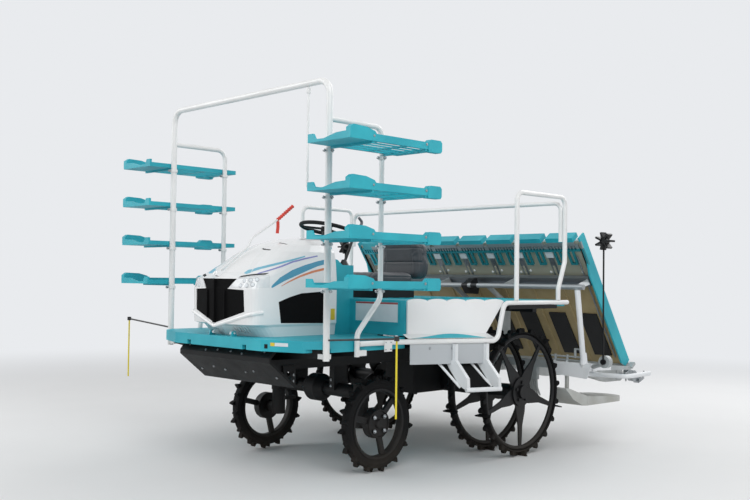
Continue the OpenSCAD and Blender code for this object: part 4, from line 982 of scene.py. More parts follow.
@dataclass
class SeatPads:
    """The driver's seat: a cushion and a back in vinyl, blown up by cloth simulation from a smaller shape.

    Sizes and places are in millimetres from the front axle, but voxel, cap and margin are in metres. A pair
    in lean and in back_welt is a height and a place along Y.
    """

    cushion_low: tuple = (-236.0, 333.0, 1236.0)
    cushion_high: tuple = (236.0, 796.0, 1366.0)
    back_low: tuple = (-222.0, 830.0, 1300.0)
    back_high: tuple = (222.0, 952.0, 1668.0)
    side_power: float = 0.32
    plan_power: float = 0.34
    grid: tuple = (48, 96)
    pole_gap: float = 0.02
    # the cushion's dished top and falling front edge
    dish_start: float = 1290.0
    dish_rise: float = 60.0
    dish: float = 26.0
    front_fall: float = 22.0
    front_length: float = 70.0
    # the back's taper, lean, wings and round top
    taper: float = 0.2
    lean: tuple = ((1300, 0), (1445, 14), (1560, 2), (1668, -22))
    wing: float = 12.0
    wing_behind: float = 890.0
    crown_start: float = 1560.0
    crown_fall: float = 58.0
    back_front: float = 812.0
    # channels and welts: place and width of each
    cushion_long: tuple = (150.0, 4.5)
    cushion_cross: tuple = (560.0, 4.5)
    cushion_top: float = 1300.0
    cushion_welt: tuple = (1322.0, 3.5)
    back_long: tuple = (142.0, 4.5)
    back_low_cross: tuple = (1440.0, 6.0)
    back_high_cross: tuple = (1550.0, 4.5)
    back_face: float = 880.0
    back_welt: tuple = ((1300, 0), (1445, 12), (1668, -20))
    back_welt_start: float = 893.0
    back_welt_width: float = 3.5
    voxel: float = 0.0085
    pressure: float = 4.0
    frames: int = 20
    cap: float = 0.012
    margin: float = 0.0005
    fill: float = 0.8

    def build(self, paint: Paintbox) -> None:
        """Make both pads, puff them together, then press the seams in and dress them.

        Args:
            paint: The finishes.
        """
        cushion = self.start("seat_cushion_pad", self.cushion_low, self.cushion_high, self.shape_cushion)
        back = self.start("seat_back_pad", self.back_low, self.back_high, self.shape_back)
        self.puff([cushion, back])
        self.finish(cushion, "seat_cushion", self.cushion_seams, paint)
        self.finish(back, "seat_back", self.back_seams, paint)

    def closed_form(self, low: tuple, high: tuple) -> tuple[np.ndarray, list]:
        """Make a rounded block as a superellipsoid on a grid.

        With c(t, e) = sign(cos t) |cos t|^e and s alike, a point is the middle plus half the size times
        (c(v, e1) c(u, e2), c(v, e1) s(u, e2), s(v, e1)), with u round and v from pole to pole.

        Args:
            low: The lowest corner.
            high: The highest corner.

        Returns:
            The vertices and the faces.
        """
        low, high = np.array(low), np.array(high)
        rows, cols = self.grid
        v = np.linspace(-np.pi / 2 + self.pole_gap, np.pi / 2 - self.pole_gap, rows)[:, None]
        u = np.linspace(0, 2 * np.pi, cols, endpoint=False)[None]
        level = signed_power(np.cos(v), self.side_power)
        unit = spread(level * signed_power(np.cos(u), self.plan_power),
                      level * signed_power(np.sin(u), self.plan_power),
                      signed_power(np.sin(v), self.side_power))
        points = (low + high) / 2 + unit * (high - low) / 2
        faces = grid_faces(rows, cols, wrap_cols=True)[:, ::-1].tolist()
        faces.append(list(range(cols)))
        faces.append([(rows - 1) * cols + k for k in range(cols)][::-1])
        return points.reshape(-1, 3), faces

    def shape_cushion(self, points: np.ndarray) -> np.ndarray:
        """Dish the cushion's middle, raise its sides and let its front edge fall off.

        The upper half sinks by dish (1 - (x / half)^4) + front_fall f^2, where f goes from 0 to 1 over the
        front edge's length.

        Args:
            points: The block's places.

        Returns:
            The cushion's places.
        """
        upper = np.clip((points[:, 2] - self.dish_start) / self.dish_rise, 0, 1)
        across = np.abs(points[:, 0]) / self.cushion_high[0]
        edge = self.cushion_low[1] + self.front_length
        front = np.clip((edge - points[:, 1]) / self.front_length, 0, 1)
        out = points.copy()
        out[:, 2] -= upper * (self.dish * (1 - across ** 4) + self.front_fall * front ** 2)
        return out

    def shape_back(self, points: np.ndarray) -> np.ndarray:
        """Lean the back, taper it to a round top and bring its sides forward.

        The width falls as 1 - taper t^3 up the back and Y follows the lean. The front of the sides comes
        forward by wing (x / half)^4, and the top's corners sink by crown_fall (x / half)^2.5.

        Args:
            points: The block's places.

        Returns:
            The back's places.
        """
        bottom, top, half = self.back_low[2], self.back_high[2], self.back_high[0]
        rise = np.clip((points[:, 2] - bottom) / (top - bottom), 0, 1)
        out = points.copy()
        out[:, 0] *= 1 - self.taper * rise ** 3
        out[:, 1] += np.interp(points[:, 2], *np.array(self.lean, float).T)
        across = np.abs(points[:, 0]) / half
        out[:, 1] -= self.wing * across ** 4 * (out[:, 1] < self.wing_behind)
        crown = np.clip((points[:, 2] - self.crown_start) / (top - self.crown_start), 0, 1)
        out[:, 2] -= self.crown_fall * crown * across ** 2.5
        out[:, 1] = np.maximum(out[:, 1], self.back_front)
        return out

    def start(self, name: str, low: tuple, high: tuple,
              shape: Callable[[np.ndarray], np.ndarray]) -> bpy.types.Object:
        """Make one pad and remesh it to even quads.

        Args:
            name: The piece's name.
            low: Its block's lowest corner.
            high: Its block's highest corner.
            shape: The function that gives the block its form.

        Returns:
            The remeshed pad.
        """
        points, faces = self.closed_form(low, high)
        pad = new_piece(name, placed(shape(points)), faces)
        remesh = pad.modifiers.new("even", "REMESH")
        remesh.mode, remesh.voxel_size, remesh.use_smooth_shade = "VOXEL", self.voxel, True
        apply_modifiers(pad)
        return pad

    def puff(self, pads: list[bpy.types.Object]) -> None:
        """Blow the pads up as cloth without gravity, and cap how far a point may move.

        Args:
            pads: The remeshed pads.
        """
        before = [vertex_places(pad) for pad in pads]
        for pad in pads:
            cloth = pad.modifiers.new("puff", "CLOTH")
            cloth.settings.quality = 5
            cloth.settings.use_pressure = True
            cloth.settings.uniform_pressure_force = self.pressure
            cloth.settings.effector_weights.gravity = 0.0
            cloth.point_cache.frame_start, cloth.point_cache.frame_end = 1, self.frames
        for frame in range(1, self.frames + 1):
            bpy.context.scene.frame_set(frame)
        for pad, old in zip(pads, before):
            apply_modifiers(pad)
            move = vertex_places(pad) - old
            length = np.linalg.norm(move, axis=1, keepdims=True)
            kept = move * np.minimum(1.0, self.cap / np.maximum(length, 1e-9))
            pad.data.vertices.foreach_set("co", (old + kept).ravel())
        bpy.context.scene.frame_set(1)

    def finish(self, pad: bpy.types.Object, node: str, seams: Callable[[np.ndarray], np.ndarray],
               paint: Paintbox) -> None:
        """Subdivide a pad, keep it in its solid's box, press its seams in, dress it and let it ride.

        A point moves by its seam's depth towards the middle of the solid.

        Args:
            pad: The pad.
            node: The CAD node that it stands for.
            seams: The function that gives the depth of the seams in millimetres at each place.
            paint: The finishes.
        """
        divide = pad.modifiers.new("smooth", "SUBSURF")
        divide.levels = divide.render_levels = 1
        apply_modifiers(pad)
        low, high = (np.array(corner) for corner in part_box(node))
        places = np.clip(vertex_places(pad), low + self.margin, high - self.margin)
        depth = seams((places - np.array([0.0, AXLE_Y, 0.0])) / MM)
        inward = (low + high) / 2 - places
        inward = inward / np.linalg.norm(inward, axis=1, keepdims=True)
        pad.data.vertices.foreach_set("co", (places + inward * depth[:, None] * MM).ravel())
        pad.data.polygons.foreach_set("use_smooth", np.ones(len(pad.data.polygons), bool))
        pad.data.update()
        paint.dress(pad, Look.VINYL)
        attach(pad, "chassis")
        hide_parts(node)
        LOG.info("%s: %d faces", pad.name, len(pad.data.polygons))

    def cushion_seams(self, p: np.ndarray) -> np.ndarray:
        """Work out the depth of the seams: two channels along, one across, and a welt round the side.

        Args:
            p: Places in millimetres from the front axle.

        Returns:
            The depth at each place in millimetres.
        """
        (long_x, long_width), (cross_y, cross_width) = self.cushion_long, self.cushion_cross
        top = p[:, 2] > self.cushion_top
        groove = channel(np.abs(p[:, 0]) - long_x, long_width) * top
        across = channel(p[:, 1] - cross_y, cross_width) * top * (np.abs(p[:, 0]) < long_x)
        welt = channel(p[:, 2] - self.cushion_welt[0], self.cushion_welt[1])
        return 5.0 * groove + 4.0 * across + 4.0 * welt

    def back_seams(self, p: np.ndarray) -> np.ndarray:
        """Work out the depth of the seams: two channels up, two across, and a welt that leans with the edge.

        Args:
            p: Places in millimetres from the front axle.

        Returns:
            The depth at each place in millimetres.
        """
        front = p[:, 1] < self.back_face
        groove = channel(np.abs(p[:, 0]) - self.back_long[0], self.back_long[1]) * front
        low = channel(p[:, 2] - self.back_low_cross[0], self.back_low_cross[1]) * front
        high = channel(p[:, 2] - self.back_high_cross[0], self.back_high_cross[1]) * front
        edge = self.back_welt_start + np.interp(p[:, 2], *np.array(self.back_welt, float).T)
        return 5.0 * groove + 8.0 * low + 5.0 * high + 4.0 * channel(p[:, 1] - edge, self.back_welt_width)


def vertex_places(obj: bpy.types.Object) -> np.ndarray:
    """Read an object's vertices as rows of places."""
    out = np.empty(len(obj.data.vertices) * 3)
    obj.data.vertices.foreach_get("co", out)
    return out.reshape(-1, 3)


def apply_modifiers(obj: bpy.types.Object) -> None:
    """Put the result of an object's modifiers into its mesh and take them off.

    Args:
        obj: The object.
    """
    graph = bpy.context.evaluated_depsgraph_get()
    graph.update()
    made = bpy.data.meshes.new_from_object(obj.evaluated_get(graph))
    made.name = obj.data.name
    obj.modifiers.clear()
    obj.data = made


@dataclass
class HoodFilm:
    """The stripes on both sides of the hood.

    Each stripe is its finish and its upper and lower line, as Y and Z in millimetres from the front axle.
    """

    stripes: dict = field(default_factory=lambda: {
        "swoosh": (
            Look.BLUE,
            ((-722, 1247), (-713, 1258), (-650, 1307), (-542, 1358), (-431, 1393), (-317, 1421),
             (-253, 1433)),
            ((-722, 1243), (-713, 1240), (-619, 1283), (-523, 1317), (-423, 1352), (-320, 1387),
             (-253, 1402))),
        "orange_line": (
            Look.ORANGE,
            ((-640, 1253), (-577, 1284), (-479, 1323), (-367, 1356), (-253, 1379)),
            ((-640, 1250), (-577, 1276), (-479, 1311), (-367, 1341), (-253, 1363))),
        "violet_line": (
            Look.VIOLET,
            ((-800, 1328), (-773, 1339), (-725, 1354), (-636, 1382), (-534, 1417), (-427, 1441),
             (-311, 1461)),
            ((-800, 1325), (-773, 1334), (-725, 1347), (-636, 1373), (-534, 1407), (-427, 1431),
             (-311, 1453))),
        "pale_blue_line": (
            Look.PALE_BLUE,
            ((-822, 1332), (-784, 1355), (-745, 1373), (-687, 1391), (-597, 1415), (-424, 1456)),
            ((-822, 1328), (-784, 1347), (-745, 1362), (-687, 1379), (-597, 1403), (-424, 1447))),
    })
    points: tuple = (110, 7)

    def build(self, frame: dict, paint: Paintbox) -> None:
        """Lay every stripe on the left and on the right side.

        Args:
            paint: The finishes.
        """
        skin = Skin.of(frame["nodes"]["hood_shell"])
        for name, (look, upper, lower) in self.stripes.items():
            films = [film(skin, upper, lower, 0, sign, *self.points) for sign in SIDES]
            fitted(f"hood_{name}", films, look, "hood", paint)


@dataclass
class HoodRecesses:
    """Dark trays under the two slots of the hood's top and behind its vent slits, which paint the shade
    inside them.

    A slot is its Y and X, and vents and vent_reach are X and Z, all in millimetres from the front axle.
    """

    slots: tuple = ((-585, 60), (-470, 95))
    slot_length: float = 90.0
    slot_width: float = 14.0
    past_end: float = 6.0
    past_side: float = 5.0
    skin_beside: float = 9.0
    depth: float = 2.0
    vents: tuple = (88.0, 232.0, 952.0, 984.0)
    vent_reach: tuple = (943.0, 987.0)
    vent_depth: float = 8.0
    thick: float = 2.0

    def build(self, frame: dict, paint: Paintbox) -> None:
        """Make the trays, each parallel to the skin around its slot.

        Args:
            paint: The finishes.
        """
        skin = Skin.of(frame["nodes"]["hood_shell"])
        trays = [self.slot_tray(skin, y, x) for y, x in self.slots] + [self.vent_tray(skin)]
        # painted shade: black trays seen through the slots and slits make them look dark
        fitted("hood_slot_shade_trays", trays, Look.BLACK_PLASTIC, "hood", paint, smooth=False)

    def slot_tray(self, skin: Skin, y: float, x: float) -> tuple:
        """Make the tray under a slot.

        Its height goes evenly from the skin before the slot to the skin behind it, less the depth.

        Args:
            skin: The hood's skin.
            y: The slot's front side.
            x: The slot's inner end.

        Returns:
            The vertices and the faces.
        """
        along = np.linspace(x - self.past_end, x + self.slot_length + self.past_end, 8) * MM
        deep = np.linspace(y - self.past_side, y + self.slot_width + self.past_side, 4)[:, None] * MM + AXLE_Y
        before, behind = (skin.hit(np.stack([along, np.full(8, line * MM + AXLE_Y)], -1), 2, 1)
                          for line in (y - self.skin_beside, y + self.slot_width + self.skin_beside))
        share = np.linspace(0, 1, 4)[:, None]
        grid = spread(along, deep, before * (1 - share) + behind * share - self.depth * MM)
        return slab(grid, grid - np.array([0, 0, self.thick * MM]))

    def vent_tray(self, skin: Skin) -> tuple:
        """Make the tray behind the vent slits.

        It lies vent_depth behind the straight line from the skin below the slits to the skin above them.

        Args:
            skin: The hood's skin.

        Returns:
            The vertices and the faces.
        """
        left, right, low, high = self.vents
        across = np.linspace(left, right, 7) * MM
        below, above = (skin.hit(np.stack([across, np.full(7, z * MM)], -1), 1, -1) for z in (low, high))
        rise = np.linspace(*self.vent_reach, 4)[:, None] * MM
        share = (rise - low * MM) / ((high - low) * MM)
        grid = spread(across, below * (1 - share) + above * share + self.vent_depth * MM, rise)
        return slab(grid, grid + np.array([0, self.thick * MM, 0]))


@dataclass
class Plates:
    """Blank plates and labels, each on the skin of a node.

    A row of plates is name, node, body, the plate's corners on the two axes across the rays in millimetres
    from the front axle, axis and side of the rays, finish, and how far it lies over the plate below it.
    """

    plates: tuple = (
        ("deck_lip_plate_white", "front_deck", "chassis", (576, 883, 663, 904), 1, -1, Look.PLATE_WHITE, 0),
        ("deck_lip_plate_yellow", "front_deck", "chassis", (546, 883, 574, 904), 1, -1, Look.YELLOW, 0),
        ("deck_lip_clip", "front_deck", "chassis", (505, 866, 527, 893), 1, -1, Look.BLACK_PLASTIC, 0),
        ("hood_side_label_left", "hood_shell", "hood", (-203, 1022, -165, 1098), 0, 1, Look.YELLOW, 0),
        ("hood_side_label_right", "hood_shell", "hood", (-203, 1022, -165, 1098), 0, -1, Look.YELLOW, 0),
        ("riser_plate_left", "rear_deck", "chassis", (364, 1016, 774, 1149), 1, -1, Look.PLATE_WHITE, 0),
        ("riser_plate_right", "rear_deck", "chassis", (-774, 1016, -364, 1149), 1, -1, Look.PLATE_WHITE, 0),
        ("riser_plate_band_left", "rear_deck", "chassis", (366, 1136, 772, 1147), 1, -1,
         Look.RED_BAND, 0.9),
        ("riser_plate_band_right", "rear_deck", "chassis", (-772, 1136, -366, 1147), 1, -1,
         Look.RED_BAND, 0.9),
    )
    points: tuple = (12, 5)

    def build(self, frame: dict, paint: Paintbox) -> None:
        """Lay every plate, as a film between its upper and its lower edge.

        Args:
            paint: The finishes.
        """
        for name, node, body, (a0, b0, a1, b1), axis, sign, look, over in self.plates:
            skin = Skin.of(frame["nodes"][node])
            points, faces = film(skin, ((a0, b1), (a1, b1)), ((a0, b0), (a1, b0)), axis, sign, *self.points)
            points[:, axis] += sign * over * MM
            fitted(name, [(points, faces)], look, body, paint, smooth=False)


@dataclass
class LampCells:
    """Six reflector cells in each headlamp, and the dark line over the lamp.

    Cells and rim are X and Z in millimetres from the front axle. A bezel is a ring about its cell.
    """

    cells: tuple = ((232, 1252), (284, 1253), (319, 1259), (258, 1283), (304, 1288), (331, 1293))
    radius: float = 12.0
    bezel_width: float = 2.0
    play: float = 0.4
    rim: tuple = ((198, 1304), (262, 1315), (328, 1324))
    rim_band: tuple = (1.0, 12.0)
    sides: int = 24
    step: float = 4.0

    def build(self, frame: dict, paint: Paintbox) -> None:
        """Set the cells on the lens at right angles to it, and lay the line over it, both sides.

        Args:
            paint: The finishes.
        """
        skin = Skin.of(frame["nodes"]["headlamps"])
        r, wide, bowl = self.radius, self.bezel_width, self.radius - self.play
        ring = MM * np.array([(r + wide, -1.0), (r + wide, 0.8), (r + wide / 2, 1.6), (r, 0.8), (r, 0.2)])
        dome = MM * np.array([(bowl, -0.8), (bowl, 1.0), (0.7 * r, 1.8), (0.35 * r, 2.4), (0.1 * r, 2.6)])
        stands = [self.stand(skin, side * x, z) for side in SIDES for x, z in self.cells]
        bezels, cells = ([turned(profile, *stand, self.sides) for stand in stands]
                         for profile in (ring, dome))
        fitted("lamp_bezels", bezels, Look.BEZEL, "hood", paint)
        fitted("lamp_cells", cells, Look.PLATE_WHITE, "hood", paint)
        shell = Skin.of(frame["nodes"]["hood_shell"])
        lines = []
        for side in SIDES:
            lower, upper = (tuple((side * x, z + band) for x, z in self.rim) for band in self.rim_band)
            lines.append(film(shell, upper, lower, 1, -1, cols=30, rows=3))
        fitted("lamp_rims", lines, Look.BLACK_PLASTIC, "hood", paint)

    def stand(self, skin: Skin, x: float, z: float) -> tuple:
        """Find a place on the lens and the way out of it.

        The lens is y = f(x, z), so the way out is (df/dx, -1, df/dz), from differences over two steps.

        Args:
            skin: The lens.
            x: Place across, in millimetres.
            z: Height, in millimetres.

        Returns:
            The place in metres and the direction.
        """
        step = self.step
        flat = MM * np.array([(x, z), (x + step, z), (x - step, z), (x, z + step), (x, z - step)])
        y = skin.hit(flat, 1, -1)
        slope = np.array([(y[1] - y[2]) / (2 * step * MM), -1.0, (y[3] - y[4]) / (2 * step * MM)])
        return np.array([x * MM, y[0], z * MM]), slope


@dataclass
class Ribbon:
    """Red plastic ribbon wound round the pole's end, with one end that hangs.

    The wound part follows the pole, in millimetres from the front axle. The hanging end's sizes are in
    metres.
    """

    wound: tuple = ((0, -404, 1709.2), (0, -390, 1718), (0, -340, 1756.6), (0, -290, 1795.2),
                    (0, -264, 1815.3))
    turns: int = 60
    sides: int = 14
    radius: float = 11.0
    end_radius: float = 8.2
    waves: tuple = ((2.2, 0.9, 0.0), (1.2, 2.3, 1.0))
    tail_start: tuple = (0, -398, 1700)
    tail_width: float = 0.024
    tail_length: float = 0.085
    tail_thick: float = 0.0004
    tail_way: tuple = (0.3, 0.954)
    tail_bend: float = 0.0035
    tail_grid: tuple = (24, 7)

    def build(self, paint: Paintbox) -> None:
        """Wind the ribbon and hang its end.

        The wound part's radius at step n is radius plus height * sin(pace * n + start) of each wave. A point
        of the end is start + across * width * way, less down * length, and bends by
        bend * sin(5 down) * down.

        Args:
            paint: The finishes.
        """
        steps = np.arange(self.turns)
        radius = self.radius + sum(high * np.sin(steps * pace + start) for high, pace, start in self.waves)
        radius[[0, -1]] = self.end_radius
        path = placed(resampled(self.wound, self.turns))
        wrap = fitted("pole_ribbon", [swept(path, radius * MM, self.sides)], Look.RED, "pole", paint)
        rows, cols = self.tail_grid
        down = np.linspace(0, 1, rows)[:, None]
        across = np.linspace(-0.5, 0.5, cols)[None] * self.tail_width
        bend = self.tail_bend * np.sin(down * 5.0) * down
        points = at(*self.tail_start) + spread(self.tail_way[0] * across, self.tail_way[1] * across + bend,
                                               -down * self.tail_length)
        sheet = slab(points, points + np.array([self.tail_thick, 0.0, 0.0]))
        tail = fitted("pole_ribbon_end", [sheet], Look.RED, "pole", paint)


@dataclass
class StepSheets:
    """Black grip sheets between the stringers of the side steps, and the tray under each upper side tube.

    Sizes and places are in millimetres from the front axle. The tray's profile is across and up.
    """

    sheet: tuple = ((905, 196, 812), (1100, 284, 592), (1188, 505, 592), (992, 418, 820))
    sheet_thick: float = 3.0
    sheet_curl: float = 6.0
    tube_x: float = 1160.0
    tray_reach: tuple = (712, 1288)
    tray_profile: tuple = ((-14, 1132.6), (-14, 1112), (-9, 1107), (9, 1107), (14, 1112), (14, 1132.6))
    tray_narrow: float = 0.8
    tray_wall: float = 3.0
    tray_brim: float = 1130.0

    def build(self, paint: Paintbox) -> None:
        """Make the sheets and trays on both sides.

        Args:
            paint: The finishes.
        """
        sheets = [panel(mirrored(self.sheet, side), self.sheet_thick * MM, self.sheet_curl * MM)
                  for side in SIDES]
        fitted("step_grips", sheets, Look.GRIP, "chassis", paint)
        trays = [self.tray(side) for side in SIDES]
        fitted("upper_tube_trays", trays, Look.BLACK_PLASTIC, "chassis", paint, smooth=False)

    def tray(self, side: int) -> tuple:
        """Carry the tray's profile along a side tube.

        The inner side is the profile narrowed by tray_narrow and, below the brim, one wall higher.

        Args:
            side: 1 for the left, -1 for the right.

        Returns:
            The vertices and the faces.
        """
        along = np.linspace(*self.tray_reach, 30)[:, None]
        outer = np.array(self.tray_profile, float)
        inner = np.stack([outer[:, 0] * self.tray_narrow,
                          outer[:, 1] + (outer[:, 1] < self.tray_brim) * self.tray_wall], -1)
        return slab(*(placed(spread(side * (self.tube_x + shape[:, 0]), along, shape[:, 1]))
                      for shape in (outer, inner)))


@dataclass
class SidePlates:
    """The small white plate at each rear post's foot, under the side tube's front end, in millimetres."""

    corners: tuple = ((882, -218, 918), (882, -148, 918), (882, -148, 838), (882, -218, 838))
    thick: float = 3.0

    def build(self, paint: Paintbox) -> None:
        """Make both plates.

        Args:
            paint: The finishes.
        """
        plates = [panel(mirrored(self.corners, side), self.thick * MM) for side in SIDES]
        fitted("side_tube_plates", plates, Look.WHITE_COAT, "chassis", paint, smooth=False)


@dataclass
class FlareSills:
    """The sill that joins each flared side panel's lower edge to the side tube, with its teal wave.

    The corners are the panel's edge and the tube's inner side, in millimetres from the front axle.
    """

    panel_edge: tuple = ((849, -10, 943), (1089, 580, 943))
    tube_edge: tuple = ((897, -9, 917), (1148, 581, 917))
    thick: float = 3.0
    wave_reach: tuple = (0.04, 0.9)
    wave_height: float = 0.95
    wave_grid: tuple = (5, 40)
    wave_proud: float = 1.4
    wave_close: float = 0.4

    def build(self, paint: Paintbox) -> None:
        """Make both sills and both waves.

        Args:
            paint: The finishes.
        """
        sills = [panel(mirrored(self.corners(), side), self.thick * MM) for side in SIDES]
        fitted("flare_sills", sills, Look.WHITE_COAT, "chassis", paint, smooth=False)
        waves = [self.wave(side) for side in SIDES]
        fitted("flare_sill_waves", waves, Look.TEAL, "chassis", paint, smooth=False)

    def corners(self) -> tuple:
        """Give the left sill's corners in order round it."""
        return self.panel_edge[0], self.tube_edge[0], self.tube_edge[1], self.panel_edge[1]

    def wave(self, side: int) -> tuple:
        """Lay the wave on a sill.

        At a share t of its length it reaches wave_height * |sin(pi t^1.3)|^1.2 of the way from the tube's
        edge to the panel's.

        Args:
            side: 1 for the left, -1 for the right.

        Returns:
            The vertices and the faces.
        """
        rows, cols = self.wave_grid
        start, end = self.wave_reach
        share = np.linspace(start, end, cols)[None, :, None]
        length = (share - start) / (end - start)
        height = self.wave_height * np.abs(np.sin(np.pi * length ** 1.3)) ** 1.2
        rise = np.linspace(0.0, 1.0, rows)[:, None, None] * height
        inner, outer = (np.array(edge, float) * (side, 1, 1) for edge in (self.panel_edge, self.tube_edge))
        low = outer[0] * (1 - share) + outer[1] * share
        high = inner[0] * (1 - share) + inner[1] * share
        grid = placed(low * (1 - rise) + high * rise)
        return slab(*(grid + np.array([0, 0, off * MM]) for off in (self.wave_proud, self.wave_close)))


@dataclass
class Fasteners:
    """Bolt heads, nuts, knobs and screws, in millimetres from the front axle.

    A row of frame_bolts is the way out and the places on the left; a row of posts is the post's Y and how far
    its clamp's bolt stands from its middle.
    """

    portal_x: float = 861.0
    shelf_heights: tuple = (1250, 1537, 1824, 2111)
    posts: tuple = ((-699, 28.0), (-240, 24.0))
    clamp_drop: float = 24.0
    knob: tuple = ((5, 0), (5, 6), (9, 8), (10, 14), (9, 18), (5, 20))
    cap_x: float = 1252.4
    cap_rise: float = 30.0
    hub_x: float = 631.5
    hub_z: float = 325.0
    nut_circle: float = 66.0
    nut_turn: float = 45.0
    screw_rows: tuple = ((-52, 292), (52, 278))
    screw_sink: float = 0.2
    screw_edge: float = 20.0
    plate_bolts: tuple = ((884, -206, 852), (884, -206, 898), (884, -160, 852), (884, -160, 898))
    frame_bolts: tuple = (
        ((0.0, -0.78, 0.63), ((203, -839.5, 813), (74, -833.7, 820), (418, -821.5, 835))),
        ((0.0, -0.63, -0.78), ((223, -757.3, 695), (114, -738.3, 680), (416, -719.3, 664))),
        ((0.0, -1.0, 0.0), ((203, -59.8, 591), (203, -59.8, 547))),
        ((0.92, -0.39, 0.0), ((963.3, 131.9, 850), (1027.1, 281.2, 850))),
    )

    def build(self, paint: Paintbox) -> None:
        """Make one piece for each body and finish.

        Args:
            paint: The finishes.
        """
        self.shelf_bolts(paint)
        self.wheel_nuts(paint)
        self.table_screws(paint)
        fitted("side_plate_bolts", self.heads(self.plate_bolts, (1, 0, 0), 5, 5), Look.ZINC, "chassis", paint,
               smooth=False)
        below = []
        for way, places in self.frame_bolts:
            for side in SIDES:
                below += self.heads(mirrored(places, side), (side * way[0], way[1], way[2]), 7.5, 6)
        fitted("frame_bolts", below, Look.ZINC, "chassis", paint, smooth=False)

    def heads(self, places: np.ndarray | tuple | list, along: tuple, radius: float, height: float,
              sides: int = 6) -> list:
        """Make bolt heads with a chamfer and a washer under each.

        Args:
            places: Where each stands, in millimetres from the front axle.
            along: The way out.
            radius: The head's radius to its corners.
            height: The head's height.
            sides: Points around.

        Returns:
            The vertices and faces of each.
        """
        r, h = radius, height
        washer = [(1.35 * r, 0.0), (1.35 * r, 0.18 * h), (1.02 * r, 0.2 * h)]
        profile = MM * np.array(washer + [(r, 0.85 * h), (0.8 * r, h)])
        return [turned(profile, placed(np.array(place)), along, sides) for place in places]

    def shelf_bolts(self, paint: Paintbox) -> None:
        """Make the clamp bolts on the posts under each shelf, their knobs, and the caps on the shelves' rims.

        Args:
            paint: The finishes.
        """
        bolts, knobs, caps = [], [], []
        for side in SIDES:
            for z in self.shelf_heights:
                for y, reach in self.posts:
                    low = z - self.clamp_drop
                    bolts += self.heads([(side * (self.portal_x + reach), y, low)], (side, 0, 0), 8, 14)
                    knob_place = placed(np.array((side * self.portal_x, y - reach, low)))
                    knobs.append(turned(MM * np.array(self.knob), knob_place, (0, -1, 0), 20))
                    caps += self.heads([(side * self.cap_x, y, z + self.cap_rise)], (side, 0, 0), 7, 5, 16)
        fitted("shelf_clamp_bolts", bolts, Look.ZINC, "chassis", paint, smooth=False)
        fitted("shelf_clamp_knobs", knobs, Look.ZINC, "chassis", paint)
        fitted("shelf_rim_caps", caps, Look.ZINC, "chassis", paint, smooth=False)

    def wheel_nuts(self, paint: Paintbox) -> None:
        """Make four nuts on each front wheel, on a circle about its hub: (sin a, cos a) * nut_circle.

        Args:
            paint: The finishes.
        """
        angle = np.radians(self.nut_turn + 90 * np.arange(4))
        y, z = self.nut_circle * np.sin(angle), self.hub_z + self.nut_circle * np.cos(angle)
        for side, tag in zip(SIDES, "lr"):
            places = spread(side * self.hub_x, y, z)
            fitted(f"front_wheel_nuts_{tag}", self.heads(places, (side, 0, 0), 11, 12), Look.ZINC,
                   f"front_wheel_{tag}", paint, smooth=False)

    def table_screws(self, paint: Paintbox) -> None:
        """Make white screw heads across the underside of the table, two beside each lane's edge.

        Args:
            paint: The finishes.
        """
        lean = math.radians(TABLE_LEAN)
        places = []
        for middle in lane_edges(0, LANES + 1):
            places += [(middle + shift, down, -self.screw_sink) for shift, down in self.screw_rows]
        places = [place for place in places if abs(place[0]) < TABLE_HALF - self.screw_edge]
        screws = self.heads(from_table(np.array(places)), (0, -math.sin(lean), -math.cos(lean)), 9, 7, 14)
        fitted("table_screws", screws, Look.WHITE_COAT, "table", paint)


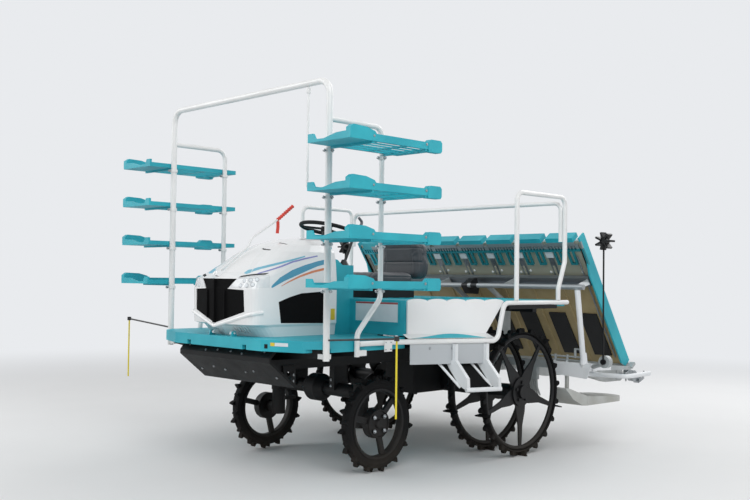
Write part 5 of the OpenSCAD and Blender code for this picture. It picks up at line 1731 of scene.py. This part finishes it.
@dataclass
class TableWork:
    """Loose trim on the table's underside: metal stays, pale pads, and at each end a rod and a black strip
    that is painted shade between the end strip and the table.

    Sizes are in millimetres. A reach is two places down the slope, and off is how far a side lies off the
    table's face.
    """

    stay_half: float = 26.0
    stay_reach: tuple = (92.0, 318.0)
    stay_off: tuple = (-3.2, -0.3)
    pad_half: float = 38.0
    pad_reach: tuple = (96.0, 150.0)
    pad_off: tuple = (-8.0, -3.4)
    rod_inset: float = 62.0
    rod_reach: tuple = (132.0, 1128.0)
    rod_off: float = -16.0
    rod_radius: float = 6.0
    edge_inset: float = 9.0
    edge_line: tuple = ((70, -7), (190, -9), (290, -12), (700, -15), (1140, -12))
    edge_radius: float = 7.5
    ripple: float = 1.5
    ripple_length: float = 34.0

    def build(self, paint: Paintbox) -> None:
        """Make the stays, the pads, the rods and the edges, which all ride on the table.

        Args:
            paint: The finishes.
        """
        stays = [self.strip(x, self.stay_half, self.stay_reach, self.stay_off) for x in lane_edges(1, LANES)]
        pads = [self.strip(x, self.pad_half, self.pad_reach, self.pad_off) for x in lane_edges(1, LANES)]
        fitted("table_stays", stays, Look.GALVANISED, "table", paint, smooth=False)
        fitted("table_pads", pads, Look.PLATE_WHITE, "table", paint, smooth=False)
        rods = [self.rod(side) for side in SIDES]
        fitted("table_end_rods", rods, Look.GALVANISED, "table", paint)
        edges = [self.edge(side) for side in SIDES]
        # painted shade: black strips along the ends stand for the shade between the end strip and the table
        fitted("table_end_shade_lines", edges, Look.BLACK_PLASTIC, "table", paint)

    def strip(self, middle: float, half: float, reach: tuple, off: tuple) -> tuple:
        """Make a flat strip on the table's underside.

        Args:
            middle: Its middle across the table.
            half: Half its width.
            reach: Its two ends down the slope.
            off: How far its two faces lie off the table's.

        Returns:
            The vertices and the faces.
        """
        down = np.linspace(*reach, 8)[:, None]
        across = np.linspace(middle - half, middle + half, 5)
        return slab(*(placed(from_table(spread(across, down, level))) for level in off))

    def rod(self, side: int) -> tuple:
        """Make the straight rod along one end of the table."""
        path = spread(side * (TABLE_HALF - self.rod_inset), np.linspace(*self.rod_reach, 30), self.rod_off)
        return swept(placed(from_table(path)), self.rod_radius * MM, 12)

    def edge(self, side: int) -> tuple:
        """Make the black strip of one end, painted shade between the end strip and the table, which moves by
        ripple * sin(down / ripple_length) off the face.

        Args:
            side: 1 for the left end, -1 for the right.

        Returns:
            The vertices and the faces.
        """
        down, off = resampled(self.edge_line, 50).T
        ripple = self.ripple * np.sin(down / self.ripple_length)
        path = spread(side * (TABLE_HALF - self.edge_inset), down, off + ripple)
        return swept(placed(from_table(path)), self.edge_radius * MM)


def main() -> None:
    """Build the dressed machine and the studio."""
    logging.basicConfig(level=logging.INFO, format="%(message)s")
    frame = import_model()
    paint = Paintbox()
    CadDress().build(frame, paint)
    SeatPads().build(paint)
    HoodFilm().build(frame, paint)
    HoodRecesses().build(frame, paint)
    Plates().build(frame, paint)
    LampCells().build(frame, paint)
    Ribbon().build(paint)
    StepSheets().build(paint)
    SidePlates().build(paint)
    FlareSills().build(paint)
    Fasteners().build(paint)
    TableWork().build(paint)
    Studio().build()


if __name__ == "__main__":
    main()
